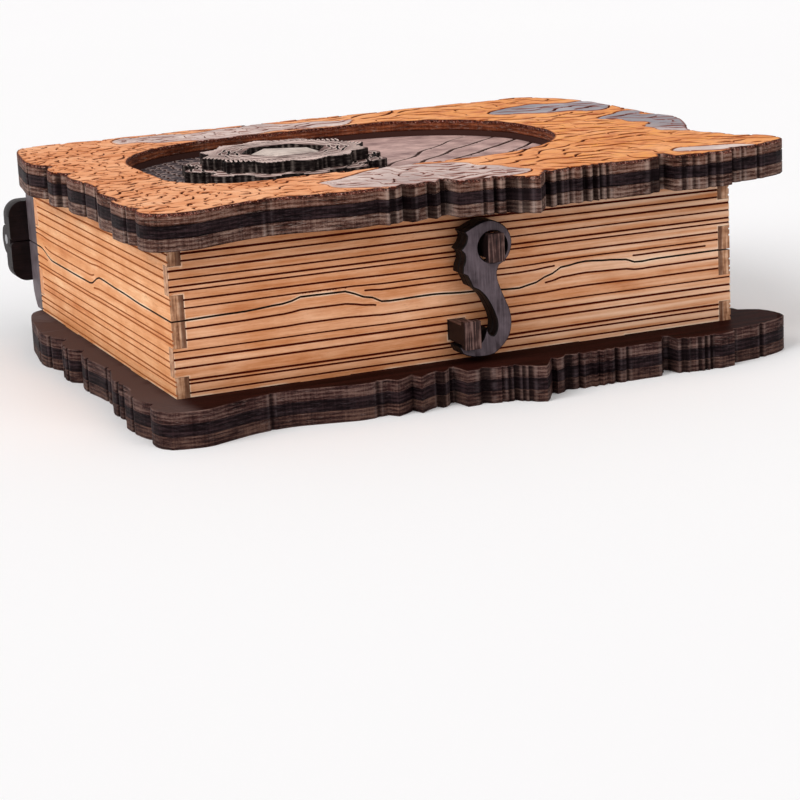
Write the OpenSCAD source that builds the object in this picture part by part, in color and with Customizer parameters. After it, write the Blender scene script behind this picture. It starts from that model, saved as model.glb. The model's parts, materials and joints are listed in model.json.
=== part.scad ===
// Dice storage chest in the shape of a thick old book.
// A base tray and a lid tray, each between a stacked plywood cover and the
// parting line, turn on a wooden knuckle hinge along the spine. A two-layer
// hook on the lid's front catches a headed peg on the base.
//
// Origin: centre of the walls' footprint, on the face the chest rests on.
// +X to the right, +Y towards the spine, +Z up. Millimetres.

/* [Trays] */
// Width over the left and right walls
chest_w = 161; // [140:1:190]
// Depth over the front and back walls
chest_d = 132; // [115:1:160]
// Height of the base walls, from the cover to the parting line
base_h = 20; // [19:0.5:30]
// Height of the lid walls, from the parting line to the cover
lid_h = 20; // [19:0.5:30]
// Thickness of the wall sheets
wall_t = 3.6; // [3:0.1:5]
// Gap along the wavy parting line between the trays
parting_gap = 0.4; // [0.2:0.1:1]
// Height of the wave in the parting line
parting_wave = 1; // [0.4:0.1:1.2]

/* [Corner fingers] */
// Height of the lower finger at each corner of the base
base_finger_low = 5.5; // [4:0.1:7]
// Height of the middle finger at each corner of the base
base_finger_mid = 7.5; // [5:0.1:9]
// Height of the lowest finger at each corner of the lid
lid_finger_low = 6.5; // [5:0.1:8]
// Height of the middle finger at each corner of the lid
lid_finger_mid = 7.5; // [5:0.1:8]

/* [Covers] */
// Thickness of one cover sheet, three to a cover
sheet_t = 3.2; // [2.5:0.1:4]
// Length of one unit in which the ragged outline's reach is given
outline_unit = 1; // [0.6:0.1:1.3]
// How much further the ragged outline stands out on every side
outline_extra = 0; // [0:0.5:6]
// Distance that a cover runs past the back wall
back_overhang = 2; // [1:0.5:6]
// Length of a tab that locks a wall into the cover
tab_len = 14; // [8:1:20]
// Clearance around a tab, tenon or lap in its slot
slot_clear = 0.1; // [0.05:0.05:0.3]

/* [Window and medallion] */
// Width of the window in the carved sheet
window_w = 121; // [116:1:126]
// Depth of the window in the carved sheet
window_d = 88; // [80:1:92]
// Distance of the window's middle to the left of the lid's middle
window_left = 6.5; // [0:0.5:9]
// Radius of the window's rounded corners
window_round = 40; // [32:1:40]
// Radius of the window's tighter front left corner
window_corner = 20; // [12:1:26]
// Depth of the pocket that is cut into the middle sheet below the window
window_pocket = 1.6; // [1:0.1:2]
// Distance of the medallion to the right of the window's middle
medallion_x = -19.5; // [-24:0.5:16]
// Distance of the medallion behind the window's middle
medallion_y = -5; // [-8:1:6]
// Radius of the scalloped disc on the window's floor
disc_r = 29; // [26:1:31]
// Radius of the scallops round the disc
scallop_r = 4; // [3:0.5:6]
// Radius of the star ring's points
star_r = 24; // [20:1:25]
// Depth of the notches between the star ring's points
star_notch = 3; // [2:0.5:6]
// Radius of the faceted boss, corner to corner
boss_r = 12; // [9:0.5:12.5]
// Radius of the boss's flat top, corner to corner
boss_top_r = 7; // [4:0.5:8]
// Height of the boss's upright foot
boss_foot = 1.3; // [0.6:0.1:2]
// Clearance around the boss in the star ring
boss_clear = 0.15; // [0.1:0.05:0.4]

/* [Spine and hinge] */
// Thickness of the spine boards
spine_t = 9.6; // [6:0.1:12]
// Thickness of the profiled plates that close the spine's ends
spine_end_t = 3.2; // [2:0.1:5]
// Radius that rounds the spine's outer edges
spine_round = 9; // [7.6:0.1:14]
// Height over which the spine's outer edges are rounded
spine_round_h = 7.5; // [5:0.5:7.5]
// Thickness of the hinge leaves
leaf_t = 6.4; // [5:0.1:8]
// Height of each hinge leaf
leaf_h = 12; // [9:0.5:14]
// How far the leaves stand out past the walls at each end
leaf_over = 5.7; // [3:0.1:10]
// Radius of the leaves' outer corners
leaf_corner_r = 4.5; // [2:0.5:5]
// Radius of the leaves' corners at the waist
leaf_waist_r = 1.5; // [0.5:0.5:3]
// Number of knuckles, base and lid in turn
knuckle_count = 9; // [5:2:13]
// Outer radius of a knuckle
knuckle_r = 4.5; // [3.5:0.1:5.5]
// Diameter of the hinge pin
pin_d = 3; // [2:0.1:4]
// Radial clearance of the pin in the knuckles
pin_clear = 0.05; // [0.02:0.01:0.1]
// Gap beside and around each knuckle
knuckle_gap = 0.4; // [0.3:0.1:0.8]

/* [Latch] */
// Distance of the hook's pivot from the left wall's outer face
pivot_x = 85.5; // [70:0.5:95]
// Height of the hook's pivot above the parting line
pivot_up = 10.4; // [9.5:0.1:12]
// Distance of the catch peg below the parting line
catch_down = 11.8; // [11:0.1:13]
// Distance of the catch peg to the left of the pivot
catch_dx = 7.7; // [7:0.1:9]
// Length of one unit in which the hook's outline is given
hook_unit = 1; // [0.95:0.05:1.1]
// Thickness of each of the hook's two layers
hook_t = 3.2; // [2.5:0.1:4]
// Gap between the hook and the front wall
hook_gap = 1.6; // [1:0.1:3]
// Radius of the hook's round eye
eye_r = 4.2; // [4.1:0.05:4.4]
// Thickness of the pegs, along the chest's width
peg_w = 4.8; // [4:0.1:5]
// Height of a peg's neck and tenon
neck_h = 5.2; // [4:0.1:5.4]
// Height of a peg's head
head_h = 7.5; // [7:0.1:8.5]
// Thickness of a peg's head, front to back
head_t = 2.2; // [1.5:0.1:3]
// Running gap between the hook and the heads
head_gap = 0.3; // [0.2:0.1:0.6]

/* [Inside] */
// Thickness of the felt linings
felt_t = 1.2; // [0.8:0.1:2]
// Gap between a lining and the walls
felt_gap = 0.4; // [0.2:0.1:1]
// Thickness of the divider strips
divider_t = 3.2; // [2:0.1:4]
// Height of the divider strips
divider_h = 15; // [10:0.5:15]
// Gap between a divider's ends and the walls
divider_gap = 0.2; // [0.1:0.05:0.5]

/* [Hidden] */

$fn = 64;
cover_t = 3 * sheet_t;
parting_z = cover_t + base_h;
lid_cover_z = parting_z + lid_h;
carved_z = lid_cover_z + 2 * sheet_t;
window_floor_z = carved_z - window_pocket;
left_x = -chest_w / 2;
front_y = -chest_d / 2;
back_y = chest_d / 2;
leaf_y = back_y + spine_t;
hinge_y = leaf_y + leaf_t;
inside_w = chest_w - 2 * wall_t;
inside_d = chest_d - 2 * wall_t;
hinge_w = chest_w + 2 * leaf_over;
knuckle_pitch = hinge_w / knuckle_count;
hinge_z = parting_z + parting_gap / 2;
hook_y = front_y - hook_gap;
head_y = hook_y - 2 * hook_t - head_gap;
pivot = [left_x + pivot_x, parting_z + pivot_up];
catch = [pivot[0] - catch_dx, parting_z - catch_down];
lining_z = cover_t + felt_t;
tab_root = 1;
spine_in = left_x + spine_end_t;
seat_z = -neck_h / 2 - 2 * head_gap;
seat_slack = 0.5;
outline_step = 3;
parting_step = 2.5;
hook_step = 1;

// Outline of a cover. Each point is [place along that side in percent of the
// wall, distance out from the wall's face in outline units, 1 for a sharp
// corner or 0 for a smooth one]. The front runs left to right, the right side front to back,
// the back right to left and the left side back to front.
front_edge = [[-3.5, 12.3, 0], [0, 13.8, 0], [2.5, 14, 0], [6, 11.8, 0], [11, 8.8, 0],
    [17, 7.6, 0], [23, 9.5, 0], [28.5, 11.5, 0], [33, 10.3, 1], [34.2, 13, 1],
    [36, 11.4, 0], [37.5, 9.5, 1], [38.2, 13.4, 1], [40, 11, 0], [41.8, 9.5, 1],
    [42.4, 12.4, 1], [43.6, 10, 0], [45.4, 7.5, 1], [46, 14, 1], [49, 14, 0],
    [51.8, 14.8, 1], [52.2, 14, 1], [53, 15.6, 1], [54.2, 14.8, 1], [54.8, 16.4, 1],
    [57, 19.5, 0], [58.3, 20.5, 0], [59.2, 18.8, 1], [60.4, 15.6, 0], [61.6, 12.6, 1],
    [61.9, 14.8, 1], [64.5, 13.2, 0], [66.8, 12.4, 1], [67.2, 13.5, 1], [69, 12.3, 1],
    [69.4, 13.4, 1], [70.4, 12.2, 1], [70.8, 13.4, 1], [72, 12.2, 1], [72.4, 13.2, 1],
    [73.6, 12.4, 1], [74, 13.2, 1], [78, 12.8, 0], [82, 12.8, 0], [83.3, 11, 1],
    [84, 7.5, 1], [84.8, 7.8, 1], [85.2, 12.4, 1], [87, 13.6, 1], [87.4, 12.8, 1],
    [89, 14, 0], [91.4, 14, 1], [91.8, 13, 1], [93, 14.2, 1], [95.8, 13.2, 1],
    [96.6, 10.8, 1], [100, 10, 0], [103.5, 9, 1], [104, 8.4, 0], [107, 6.5, 0]];
right_edge = [[-2.5, 15, 0], [1.5, 15.3, 0], [5.5, 13.5, 0], [8, 8.5, 1], [13, 7.8, 1],
    [18.5, 4.5, 0], [23, 5, 0], [29, 9, 0], [37, 13.5, 0], [44, 16, 0], [50, 14.4, 0],
    [60, 14.2, 0], [72, 14.5, 0], [83, 13.5, 0], [91.5, 11, 0], [96.5, 7, 0]];
back_edge = [[101.5, 0, 0], [94, 0, 0], [82, 0.5, 0], [68, -0.4, 0], [55, 0.4, 0],
    [42, -0.3, 0], [30, 0.5, 0], [16, -0.3, 0], [4, 0.2, 0], [0, -0.4, 0]];
left_edge = [[99, 3.5, 0], [93, 6, 0], [86, 7.4, 0], [76, 9, 0], [69.5, 7, 0],
    [66.5, 4.4, 1], [64, 7, 0], [60, 8.2, 0], [56, 7.6, 0], [53.6, 4.2, 1],
    [51, 6.2, 0], [46, 7, 0], [39, 5.8, 0], [31, 5.5, 0], [23.5, 7.8, 0],
    [15.5, 6.8, 0], [12.8, 7, 1], [11.6, 9.2, 1], [6, 9, 0], [1.8, 8, 0],
    [-0.6, 6.6, 1], [-2.2, 8, 0], [-5, 8.3, 0], [-7.6, 7.4, 0]];

// The parting line: [place along the wall in percent, height above the
// hinge's axis]. The side walls' line is level near the spine.
front_parting = [[0, -0.3], [11, 0], [19, 0.7], [21.5, 1.9], [29, 1.8], [33, -0.4],
    [36, -2.2], [44, -2], [51, -2.6], [60, -3.4], [63, -2.5], [65.5, -0.9], [68, 0.8],
    [72, 1.5], [77, 1], [80, 0.5], [82, -0.6], [86, -0.3], [100, -0.2]];
side_parting = [[0, -0.3], [18, -0.2], [34, 0.3], [48.5, 0.7], [56.5, -2.3], [70, -2.4],
    [87, -2.4], [97, 0], [100, 0]];

// The hook's outline: [right, up, 1 for a sharp corner], in hook units. The
// eye is drawn round the pivot and the tail round the catch peg; the arm
// between them gives its height as a share of the drop from pivot to peg.
eye_right = [[-7.8, 4.6, 1], [-4.3, 6.2, 0], [-1.5, 7, 0], [1, 6.7, 0], [3.7, 5, 0],
    [5.2, 2.6, 0], [5.5, 0, 0], [4.6, -2.6, 0], [3.2, -4.1, 0], [1.7, -5, 1]];
arm_right = [[1, -0.31, 0], [1.2, -0.41, 0], [2.1, -0.53, 0], [3.2, -0.65, 0],
    [4.3, -0.78, 0], [4.7, -0.92, 0]];
tail = [[11.9, -1, 0], [10.7, -3.2, 0], [8.8, -5, 0], [7.2, -6.1, 0], [4.6, -6.5, 0],
    [0.7, -6.2, 0], [-1.9, -5.2, 1]];
tail_inside = [[4, -2, 0], [5.2, 1, 1], [5.7, -0.6, 0], [7.1, -1.4, 0], [8.1, 0, 0],
    [8.3, 2.2, 0], [7.6, 4.6, 0]];
arm_left = [[-1.2, -0.68, 0], [-2.5, -0.58, 0], [-4.2, -0.5, 0], [-6, -0.455, 1],
    [-6.6, -0.39, 0], [-7.4, -0.31, 1]];
eye_left = [[-8.7, -6.2, 1], [-8.5, -4.4, 0], [-7.8, -2.8, 0], [-8, -1, 0], [-9, 0, 1],
    [-7.6, 1.4, 0], [-7, 3.4, 0]];

// A cubic that leaves a along m and reaches b along n.
function hermite(a, b, m, n, t) =
    a * (2 * pow(t, 3) - 3 * pow(t, 2) + 1) + m * (pow(t, 3) - 2 * pow(t, 2) + t)
    + b * (3 * pow(t, 2) - 2 * pow(t, 3)) + n * (pow(t, 3) - pow(t, 2));

// A closed curve through points of [x, y, sharp], in steps of about step.
function smooth_loop(p, step) =
    let (n = len(p), xy = [for (q = p) [q[0], q[1]]])
    [for (i = [0 : n - 1])
        let (j = (i + 1) % n, h = (i + n - 1) % n, k = (i + 2) % n,
             chord = xy[j] - xy[i],
             m = p[i][2] == 1 ? chord : (xy[j] - xy[h]) / 2,
             e = p[j][2] == 1 ? chord : (xy[k] - xy[i]) / 2,
             cap = norm(chord),
             m_cap = m * min(1, cap / norm(m)),
             e_cap = e * min(1, cap / norm(e)),
             steps = max(1, ceil(cap / step)))
        for (s = [0 : steps - 1])
            hermite(xy[i], xy[j], m_cap, e_cap, s / steps)];

// Height of a line of [percent, height] points at percent f.
function line_height(points, f) =
    let (i = max([for (k = [0 : len(points) - 2]) points[k][0] <= f ? k : 0]),
         a = points[i], b = points[i + 1],
         t = (f - a[0]) / (b[0] - a[0]))
    a[1] + (b[1] - a[1]) * (1 - cos(180 * t)) / 2;

// The cover's points, from places along the walls and distances out from them.
function along_width(p) = left_x + chest_w * p[0] / 100;
function along_depth(p) = front_y + chest_d * p[0] / 100;
function reach(p) = p[1] * outline_unit + outline_extra;
function outline_points() = concat(
    [for (p = front_edge) [along_width(p), front_y - reach(p), p[2]]],
    [for (p = right_edge) [reach(p) - left_x, along_depth(p), p[2]]],
    [for (p = back_edge) [along_width(p), back_y + back_overhang + p[1] * outline_unit, p[2]]],
    [for (p = left_edge) [left_x - reach(p), along_depth(p), p[2]]]);

module cover_sheet(z) {
    translate([0, 0, z])
        linear_extrude(sheet_t)
            polygon(smooth_loop(outline_points(), outline_step));
}

// The eight tabs that lock a tray's walls into a cover, two to a wall.
module wall_tabs(along_x, grow = 0) {
    span = along_x ? chest_w : chest_d;
    size = [tab_len + 2 * grow, wall_t + 2 * grow];
    for (end = [-1, 1], face = [-1, 1])
        if (along_x)
            translate([end * span / 4, face * (chest_d - wall_t) / 2])
                square(size, center = true);
        else
            translate([face * (chest_w - wall_t) / 2, end * span / 4])
                rotate(90)
                    square(size, center = true);
}

module slotted_sheet(z) {
    difference() {
        cover_sheet(z);
        translate([0, 0, z - 1])
            linear_extrude(sheet_t + 2) {
                wall_tabs(true, slot_clear);
                wall_tabs(false, slot_clear);
            }
    }
}

module bottom_cover_outer() { color("#3a2a26") cover_sheet(0); }
module bottom_cover_middle() { color("#241a1c") cover_sheet(sheet_t); }
module bottom_cover_inner() { color("#4a3836") slotted_sheet(2 * sheet_t); }
module top_cover_inner() { color("#4a3836") slotted_sheet(lid_cover_z); }

// A rectangle from [0, 0] with its corners rounded to the radius r.
module rounded_plate(w, d, r) {
    translate([0, r])
        square([w, d - 2 * r]);
    translate([r, 0])
        square([w - 2 * r, d]);
    for (x = [r, w - r], y = [r, d - r])
        translate([x, y])
            circle(r);
}

// The window: round all over, with a tighter corner at the front left.
module window_shape() {
    translate([-window_left - window_w / 2, -window_d / 2]) {
        rounded_plate(window_w, window_d, window_round);
        rounded_plate(window_round + window_corner, window_round + window_corner, window_corner);
    }
}

module top_cover_middle() {
    color("#3c363c")
        difference() {
            cover_sheet(carved_z - sheet_t);
            translate([0, 0, window_floor_z])
                linear_extrude(window_pocket + 1)
                    window_shape();
        }
}

module top_cover_carved() {
    color("#b8662f")
        difference() {
            cover_sheet(carved_z);
            translate([0, 0, carved_z - 1])
                linear_extrude(sheet_t + 2)
                    window_shape();
        }
}

// Medallion: a scalloped disc, a twelve-pointed star ring and a faceted boss.
module medallion_disc() {
    color("#1c1a1d")
        translate([medallion_x - window_left, medallion_y, window_floor_z])
            linear_extrude(sheet_t)
                union() {
                    circle(disc_r - scallop_r);
                    for (a = [0 : 30 : 330])
                        rotate(a)
                            translate([disc_r - scallop_r, 0])
                                circle(scallop_r, $fn = 32);
                }
}

function star_points(r_out, r_in, n) =
    [for (i = [0 : 2 * n - 1])
        let (r = i % 2 == 0 ? r_out : r_in, a = 180 * i / n)
        [r * cos(a), r * sin(a)]];

module medallion_star() {
    color("#26232a")
        translate([medallion_x - window_left, medallion_y, window_floor_z + sheet_t])
            linear_extrude(sheet_t)
                difference() {
                    polygon(star_points(star_r, star_r - star_notch, 12));
                    circle(boss_r + boss_clear, $fn = 6);
                }
}

// Upper part of a twenty-sided solid: a top triangle with sloping facets.
module medallion_boss() {
    rim = [for (i = [0 : 5]) [boss_r * cos(60 * i), boss_r * sin(60 * i), boss_foot]];
    foot = [for (p = rim) [p[0], p[1], 0]];
    top = [for (i = [0 : 2]) [boss_top_r * cos(120 * i), boss_top_r * sin(120 * i), sheet_t]];
    points = concat(foot, rim, top);
    sides = [for (i = [0 : 5]) [i, 6 + i, 6 + (i + 1) % 6, (i + 1) % 6]];
    slopes = [for (i = [0 : 2])
        let (a = 6 + 2 * i, b = 7 + 2 * i, c = 6 + (2 * i + 2) % 6, t = 12 + i, u = 12 + (i + 1) % 3)
        each [[a, t, b], [b, t, u], [b, u, c]]];
    color("#6d666c")
        translate([medallion_x - window_left, medallion_y, window_floor_z + sheet_t])
            polyhedron(points, concat([[0, 1, 2, 3, 4, 5]], sides, slopes, [[12, 14, 13]]));
}

// The line as a wall's edge, for a wall of this length. It runs left to right
// where way is 1, under a lid wall, and right to left where way is -1.
function parting_edge(span, line, lift, way) =
    let (count = ceil(span / parting_step))
    [for (i = [0 : count])
        let (f = way > 0 ? i / count : 1 - i / count)
        [span * (f - 0.5), lift + parting_wave * line_height(line, 100 * f)]];

// One tray wall, standing along x with the parting level at z = 0 and its
// cover at height cover_side. The corner finger between low and high belongs
// to this wall where own_finger is true, and to its neighbour where not.
module tray_wall(span, line, lift, cover_side, low, high, own_finger) {
    far = 4 * (base_h + lid_h);
    way = sign(cover_side);
    rotate([90, 0, 0])
        linear_extrude(wall_t, center = true) {
            difference() {
                polygon(concat(parting_edge(span, line, lift, way),
                    [for (s = [way, -way]) [s * span / 2, cover_side]]));
                for (end = [-1, 1])
                    translate([end * span / 2, 0])
                        if (own_finger) {
                            end_cut(-far, low);
                            end_cut(high, far);
                        } else
                            end_cut(low, high);
            }
            for (end = [-1, 1])
                translate([end * span / 4, cover_side + way * (sheet_t - tab_root) / 2])
                    square([tab_len, sheet_t + tab_root], center = true);
        }
}

// A notch in a wall's end, as deep as the neighbouring wall is thick.
module end_cut(low, high) {
    translate([-wall_t, low])
        square([2 * wall_t, high - low]);
}

module base_wall(span, line, own_finger) {
    low = base_finger_low - base_h;
    translate([0, 0, parting_z])
        tray_wall(span, line, 0, -base_h, low, low + base_finger_mid, own_finger);
}

module lid_wall(span, line, own_finger) {
    low = lid_finger_low;
    translate([0, 0, parting_z])
        tray_wall(span, line, parting_gap, lid_h, low, low + lid_finger_mid, own_finger);
}

// Places a wall's centre plane on the front (-1) or back (1).
module on_front_or_back(side) {
    translate([0, side * (chest_d - wall_t) / 2, 0]) children();
}

// Places a wall's centre plane on the left (-1) or right (1).
module on_side(side) {
    translate([side * (chest_w - wall_t) / 2, 0, 0]) rotate(90) children();
}

// The rectangular hole that a peg's tenon fills.
module tenon_hole(at) {
    translate([at[0], front_y + wall_t / 2, at[1]])
        cube([peg_w + 2 * slot_clear, 2 * wall_t, neck_h + 2 * slot_clear], center = true);
}

level_line = [[0, 0], [100, 0]];

module base_front_wall() {
    color("#c98c58")
        difference() {
            on_front_or_back(-1) base_wall(chest_w, front_parting, true);
            tenon_hole(catch);
        }
}

module lid_front_wall() {
    color("#c98c58")
        difference() {
            on_front_or_back(-1) lid_wall(chest_w, front_parting, true);
            tenon_hole(pivot);
        }
}

module base_back_wall() { color("#c98c58") on_front_or_back(1) base_wall(chest_w, level_line, true); }
module lid_back_wall() { color("#c98c58") on_front_or_back(1) lid_wall(chest_w, level_line, true); }
module base_left_wall() { color("#c4854f") on_side(-1) base_wall(chest_d, side_parting, false); }
module base_right_wall() { color("#c4854f") on_side(1) base_wall(chest_d, side_parting, false); }
module lid_left_wall() { color("#c4854f") on_side(-1) lid_wall(chest_d, side_parting, false); }
module lid_right_wall() { color("#c4854f") on_side(1) lid_wall(chest_d, side_parting, false); }

// Profile of a spine board in y and z: its cover is at z = 0 and its outer
// edge there is rounded.
module spine_profile(h) {
    intersection() {
        translate([back_y, 0]) square([spine_t, h]);
        union() {
            translate([back_y, spine_round_h]) square([spine_t, h]);
            translate([leaf_y - spine_round, spine_round_h]) circle(spine_round);
            translate([back_y, 0]) square([max(0.1, spine_t - spine_round), h]);
        }
    }
}

// A stretch of spine board from x1 to x2, standing on its cover.
module spine_board(x1, x2, h) {
    translate([x1, 0, 0])
        rotate([90, 0, 90])
            linear_extrude(x2 - x1)
                spine_profile(h);
}

module base_spine_board(x1, x2) {
    translate([0, 0, cover_t]) spine_board(x1, x2, base_h);
}

module lid_spine_board(x1, x2) {
    translate([0, 0, lid_cover_z]) mirror([0, 0, 1]) spine_board(x1, x2, lid_h - parting_gap);
}

module base_spine() { color("#2b2226") base_spine_board(spine_in, -spine_in); }
module base_spine_left_end() { color("#4c4348") base_spine_board(left_x, spine_in); }
module base_spine_right_end() { color("#4c4348") base_spine_board(-spine_in, -left_x); }
module lid_spine() { color("#2b2226") lid_spine_board(spine_in, -spine_in); }
module lid_spine_left_end() { color("#4c4348") lid_spine_board(left_x, spine_in); }
module lid_spine_right_end() { color("#4c4348") lid_spine_board(-spine_in, -left_x); }

// A hinge leaf in x and z, with its waist edge on z = 0.
module leaf_profile() {
    half = hinge_w / 2;
    side_h = leaf_h - leaf_corner_r - leaf_waist_r;
    translate([leaf_corner_r - half, 0])
        square([hinge_w - 2 * leaf_corner_r, leaf_h]);
    translate([leaf_waist_r - half, 0])
        square([hinge_w - 2 * leaf_waist_r, leaf_h - leaf_corner_r]);
    translate([-half, leaf_waist_r])
        square([hinge_w, side_h]);
    for (s = [-1, 1]) {
        translate([s * (half - leaf_corner_r), leaf_h - leaf_corner_r]) circle(leaf_corner_r);
        translate([s * (half - leaf_waist_r), leaf_waist_r]) circle(leaf_waist_r);
    }
}

module hinge_rod(r, x1, x2) {
    translate([x1, hinge_y, hinge_z])
        rotate([0, 90, 0])
            cylinder(r = r, h = x2 - x1);
}

// A leaf with its knuckles. Counted from the left, the base has knuckles
// 0, 2, 4... and the lid has those between them.
module hinge_leaf(first) {
    difference() {
        union() {
            difference() {
                children();
                for (i = [1 - first : 2 : knuckle_count - 1])
                    hinge_rod(knuckle_r + knuckle_gap,
                        (i - knuckle_count / 2) * knuckle_pitch - knuckle_gap / 2,
                        (i + 1 - knuckle_count / 2) * knuckle_pitch + knuckle_gap / 2);
            }
            for (i = [first : 2 : knuckle_count - 1])
                hinge_rod(knuckle_r,
                    (i - knuckle_count / 2) * knuckle_pitch + knuckle_gap / 2,
                    (i + 1 - knuckle_count / 2) * knuckle_pitch - knuckle_gap / 2);
        }
        hinge_rod(pin_d / 2 + pin_clear, -hinge_w, hinge_w);
    }
}

module leaf_plate(z) {
    translate([0, hinge_y, z])
        rotate([90, 0, 0])
            linear_extrude(leaf_t)
                leaf_profile();
}

module base_hinge_leaf() {
    color("#221d21")
        hinge_leaf(0)
            translate([0, 0, 2 * parting_z]) mirror([0, 0, 1]) leaf_plate(parting_z);
}

module lid_hinge_leaf() {
    color("#221d21")
        hinge_leaf(1)
            leaf_plate(parting_z + parting_gap);
}

module hinge_pin() {
    color("#9a9a9e")
        hinge_rod(pin_d / 2, knuckle_gap / 2 - hinge_w / 2, hinge_w / 2 - knuckle_gap / 2);
}

// A headed peg: a tenon through the wall, a neck that passes the hook and
// a taller head in front of it. Its profile is cut in y and z.
module headed_peg(at) {
    translate([at[0] - peg_w / 2, 0, at[1]])
        rotate([90, 0, 90])
            linear_extrude(peg_w) {
                translate([head_y, -neck_h / 2])
                    square([front_y + wall_t - head_y, neck_h]);
                translate([head_y - head_t, -head_h / 2])
                    square([head_t, head_h]);
            }
}

module catch_peg() { color("#5a4238") headed_peg(catch); }
module latch_pivot_peg() { color("#4f4340") headed_peg(pivot); }

function eye_points(points) = [for (p = points) [hook_unit * p[0], hook_unit * p[1], p[2]]];
function arm_points(points) =
    [for (p = points) [hook_unit * p[0], p[1] * (pivot_up + catch_down), p[2]]];
function peg_points(points) =
    [for (p = points) [p[0] - catch_dx, p[1] - pivot_up - catch_down, p[2]]];
function tail_points(points) = peg_points(eye_points(points));

// The hook's outline round the pivot. Its seat is level, just under the neck
// of the catch peg.
function hook_outline() = concat(eye_points(eye_right), arm_points(arm_right), tail_points(tail),
    peg_points([[-seat_slack - peg_w / 2, seat_z, 1], [peg_w / 2, seat_z, 0]]),
    tail_points(tail_inside), arm_points(arm_left), eye_points(eye_left));

// One layer of the hook. Its back face is at y.
module hook_layer(y) {
    translate([pivot[0], y, pivot[1]])
        rotate([90, 0, 0])
            linear_extrude(hook_t)
                difference() {
                    polygon(smooth_loop(hook_outline(), hook_step));
                    circle(eye_r);
                }
}

module hook_back_layer() { color("#3b363c") hook_layer(hook_y); }
module hook_front_layer() { color("#4a454d") hook_layer(hook_y - hook_t); }

module lining(z) {
    translate([0, 0, z])
        linear_extrude(felt_t)
            square([inside_w - 2 * felt_gap, inside_d - 2 * felt_gap], center = true);
}

module base_lining() { color("#7a1f24") lining(cover_t); }
module lid_lining() { color("#7a1f24") lining(lid_cover_z - felt_t); }

// Dividers lap halfway through each other: the long strips are slotted from
// above and the cross strips from below.
module strip_with_laps(span, laps, lap_z) {
    difference() {
        translate([0, 0, divider_h / 2])
            cube([span - 2 * divider_gap, divider_t, divider_h], center = true);
        for (f = laps)
            translate([span * (f - 0.5), 0, lap_z])
                cube([divider_t + 2 * slot_clear, 2 * divider_t, divider_h], center = true);
    }
}

long_places = [1 / 3, 2 / 3];
cross_places = [1 / 4, 1 / 2, 3 / 4];

module long_divider(i) {
    color("#b77b48")
        translate([0, inside_d * (long_places[i] - 0.5), lining_z])
            strip_with_laps(inside_w, cross_places, divider_h);
}

module cross_divider(i) {
    color("#b77b48")
        translate([inside_w * (cross_places[i] - 0.5), 0, lining_z])
            rotate(90)
                strip_with_laps(inside_d, long_places, 0);
}

module long_divider_front() { long_divider(0); }
module long_divider_back() { long_divider(1); }
module cross_divider_left() { cross_divider(0); }
module cross_divider_middle() { cross_divider(1); }
module cross_divider_right() { cross_divider(2); }

bottom_cover_outer();
bottom_cover_middle();
bottom_cover_inner();
base_front_wall();
base_back_wall();
base_left_wall();
base_right_wall();
base_spine();
base_spine_left_end();
base_spine_right_end();
base_hinge_leaf();
hinge_pin();
catch_peg();
base_lining();
long_divider_front();
long_divider_back();
cross_divider_left();
cross_divider_middle();
cross_divider_right();
top_cover_inner();
top_cover_middle();
top_cover_carved();
medallion_disc();
medallion_star();
medallion_boss();
lid_front_wall();
lid_back_wall();
lid_left_wall();
lid_right_wall();
lid_spine();
lid_spine_left_end();
lid_spine_right_end();
lid_hinge_leaf();
latch_pivot_peg();
lid_lining();
hook_back_layer();
hook_front_layer();
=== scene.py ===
# %% [markdown]
# # A dice chest in the shape of an old book
#
# The real chest is cut from thin plywood by a laser. Each cover is a stack of
# three sheets with one ragged outline, the trays' walls are engraved with the
# lines of a block of pages, and a wooden hook holds the lid shut. The
# construction is loaded as a fixed frame of named pieces, so this script only
# has to carve what the laser carved and to give every piece its finish.

# %% Load the frame
import json
import math
import random

import bpy
import numpy as np
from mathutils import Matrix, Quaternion, Vector
from mathutils.geometry import delaunay_2d_cdt
from mathutils.kdtree import KDTree


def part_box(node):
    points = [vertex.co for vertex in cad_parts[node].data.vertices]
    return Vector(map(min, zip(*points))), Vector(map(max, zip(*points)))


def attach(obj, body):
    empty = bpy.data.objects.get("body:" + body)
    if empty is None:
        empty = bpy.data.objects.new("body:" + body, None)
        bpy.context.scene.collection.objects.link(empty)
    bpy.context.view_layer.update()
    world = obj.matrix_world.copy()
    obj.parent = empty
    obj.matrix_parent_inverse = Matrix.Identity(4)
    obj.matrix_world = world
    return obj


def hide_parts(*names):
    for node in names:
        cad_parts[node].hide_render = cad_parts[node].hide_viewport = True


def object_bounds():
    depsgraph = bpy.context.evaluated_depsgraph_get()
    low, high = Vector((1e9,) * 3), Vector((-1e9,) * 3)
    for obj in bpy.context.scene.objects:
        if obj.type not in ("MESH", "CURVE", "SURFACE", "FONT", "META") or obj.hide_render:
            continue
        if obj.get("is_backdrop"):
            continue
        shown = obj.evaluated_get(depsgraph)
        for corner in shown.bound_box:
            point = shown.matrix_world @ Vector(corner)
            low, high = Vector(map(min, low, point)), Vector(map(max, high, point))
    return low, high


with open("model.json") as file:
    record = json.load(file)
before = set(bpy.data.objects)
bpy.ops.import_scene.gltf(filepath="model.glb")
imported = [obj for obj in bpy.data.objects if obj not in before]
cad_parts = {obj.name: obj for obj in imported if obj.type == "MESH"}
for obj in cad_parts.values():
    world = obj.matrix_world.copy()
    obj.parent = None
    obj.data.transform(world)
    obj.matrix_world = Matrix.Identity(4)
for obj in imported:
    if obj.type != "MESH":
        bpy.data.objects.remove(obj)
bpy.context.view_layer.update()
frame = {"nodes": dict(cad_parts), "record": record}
nodes = frame["nodes"]
body_of_node = {n: body for body, group in frame["record"]["behaviour"]["bodies"].items() for n in group}

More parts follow.
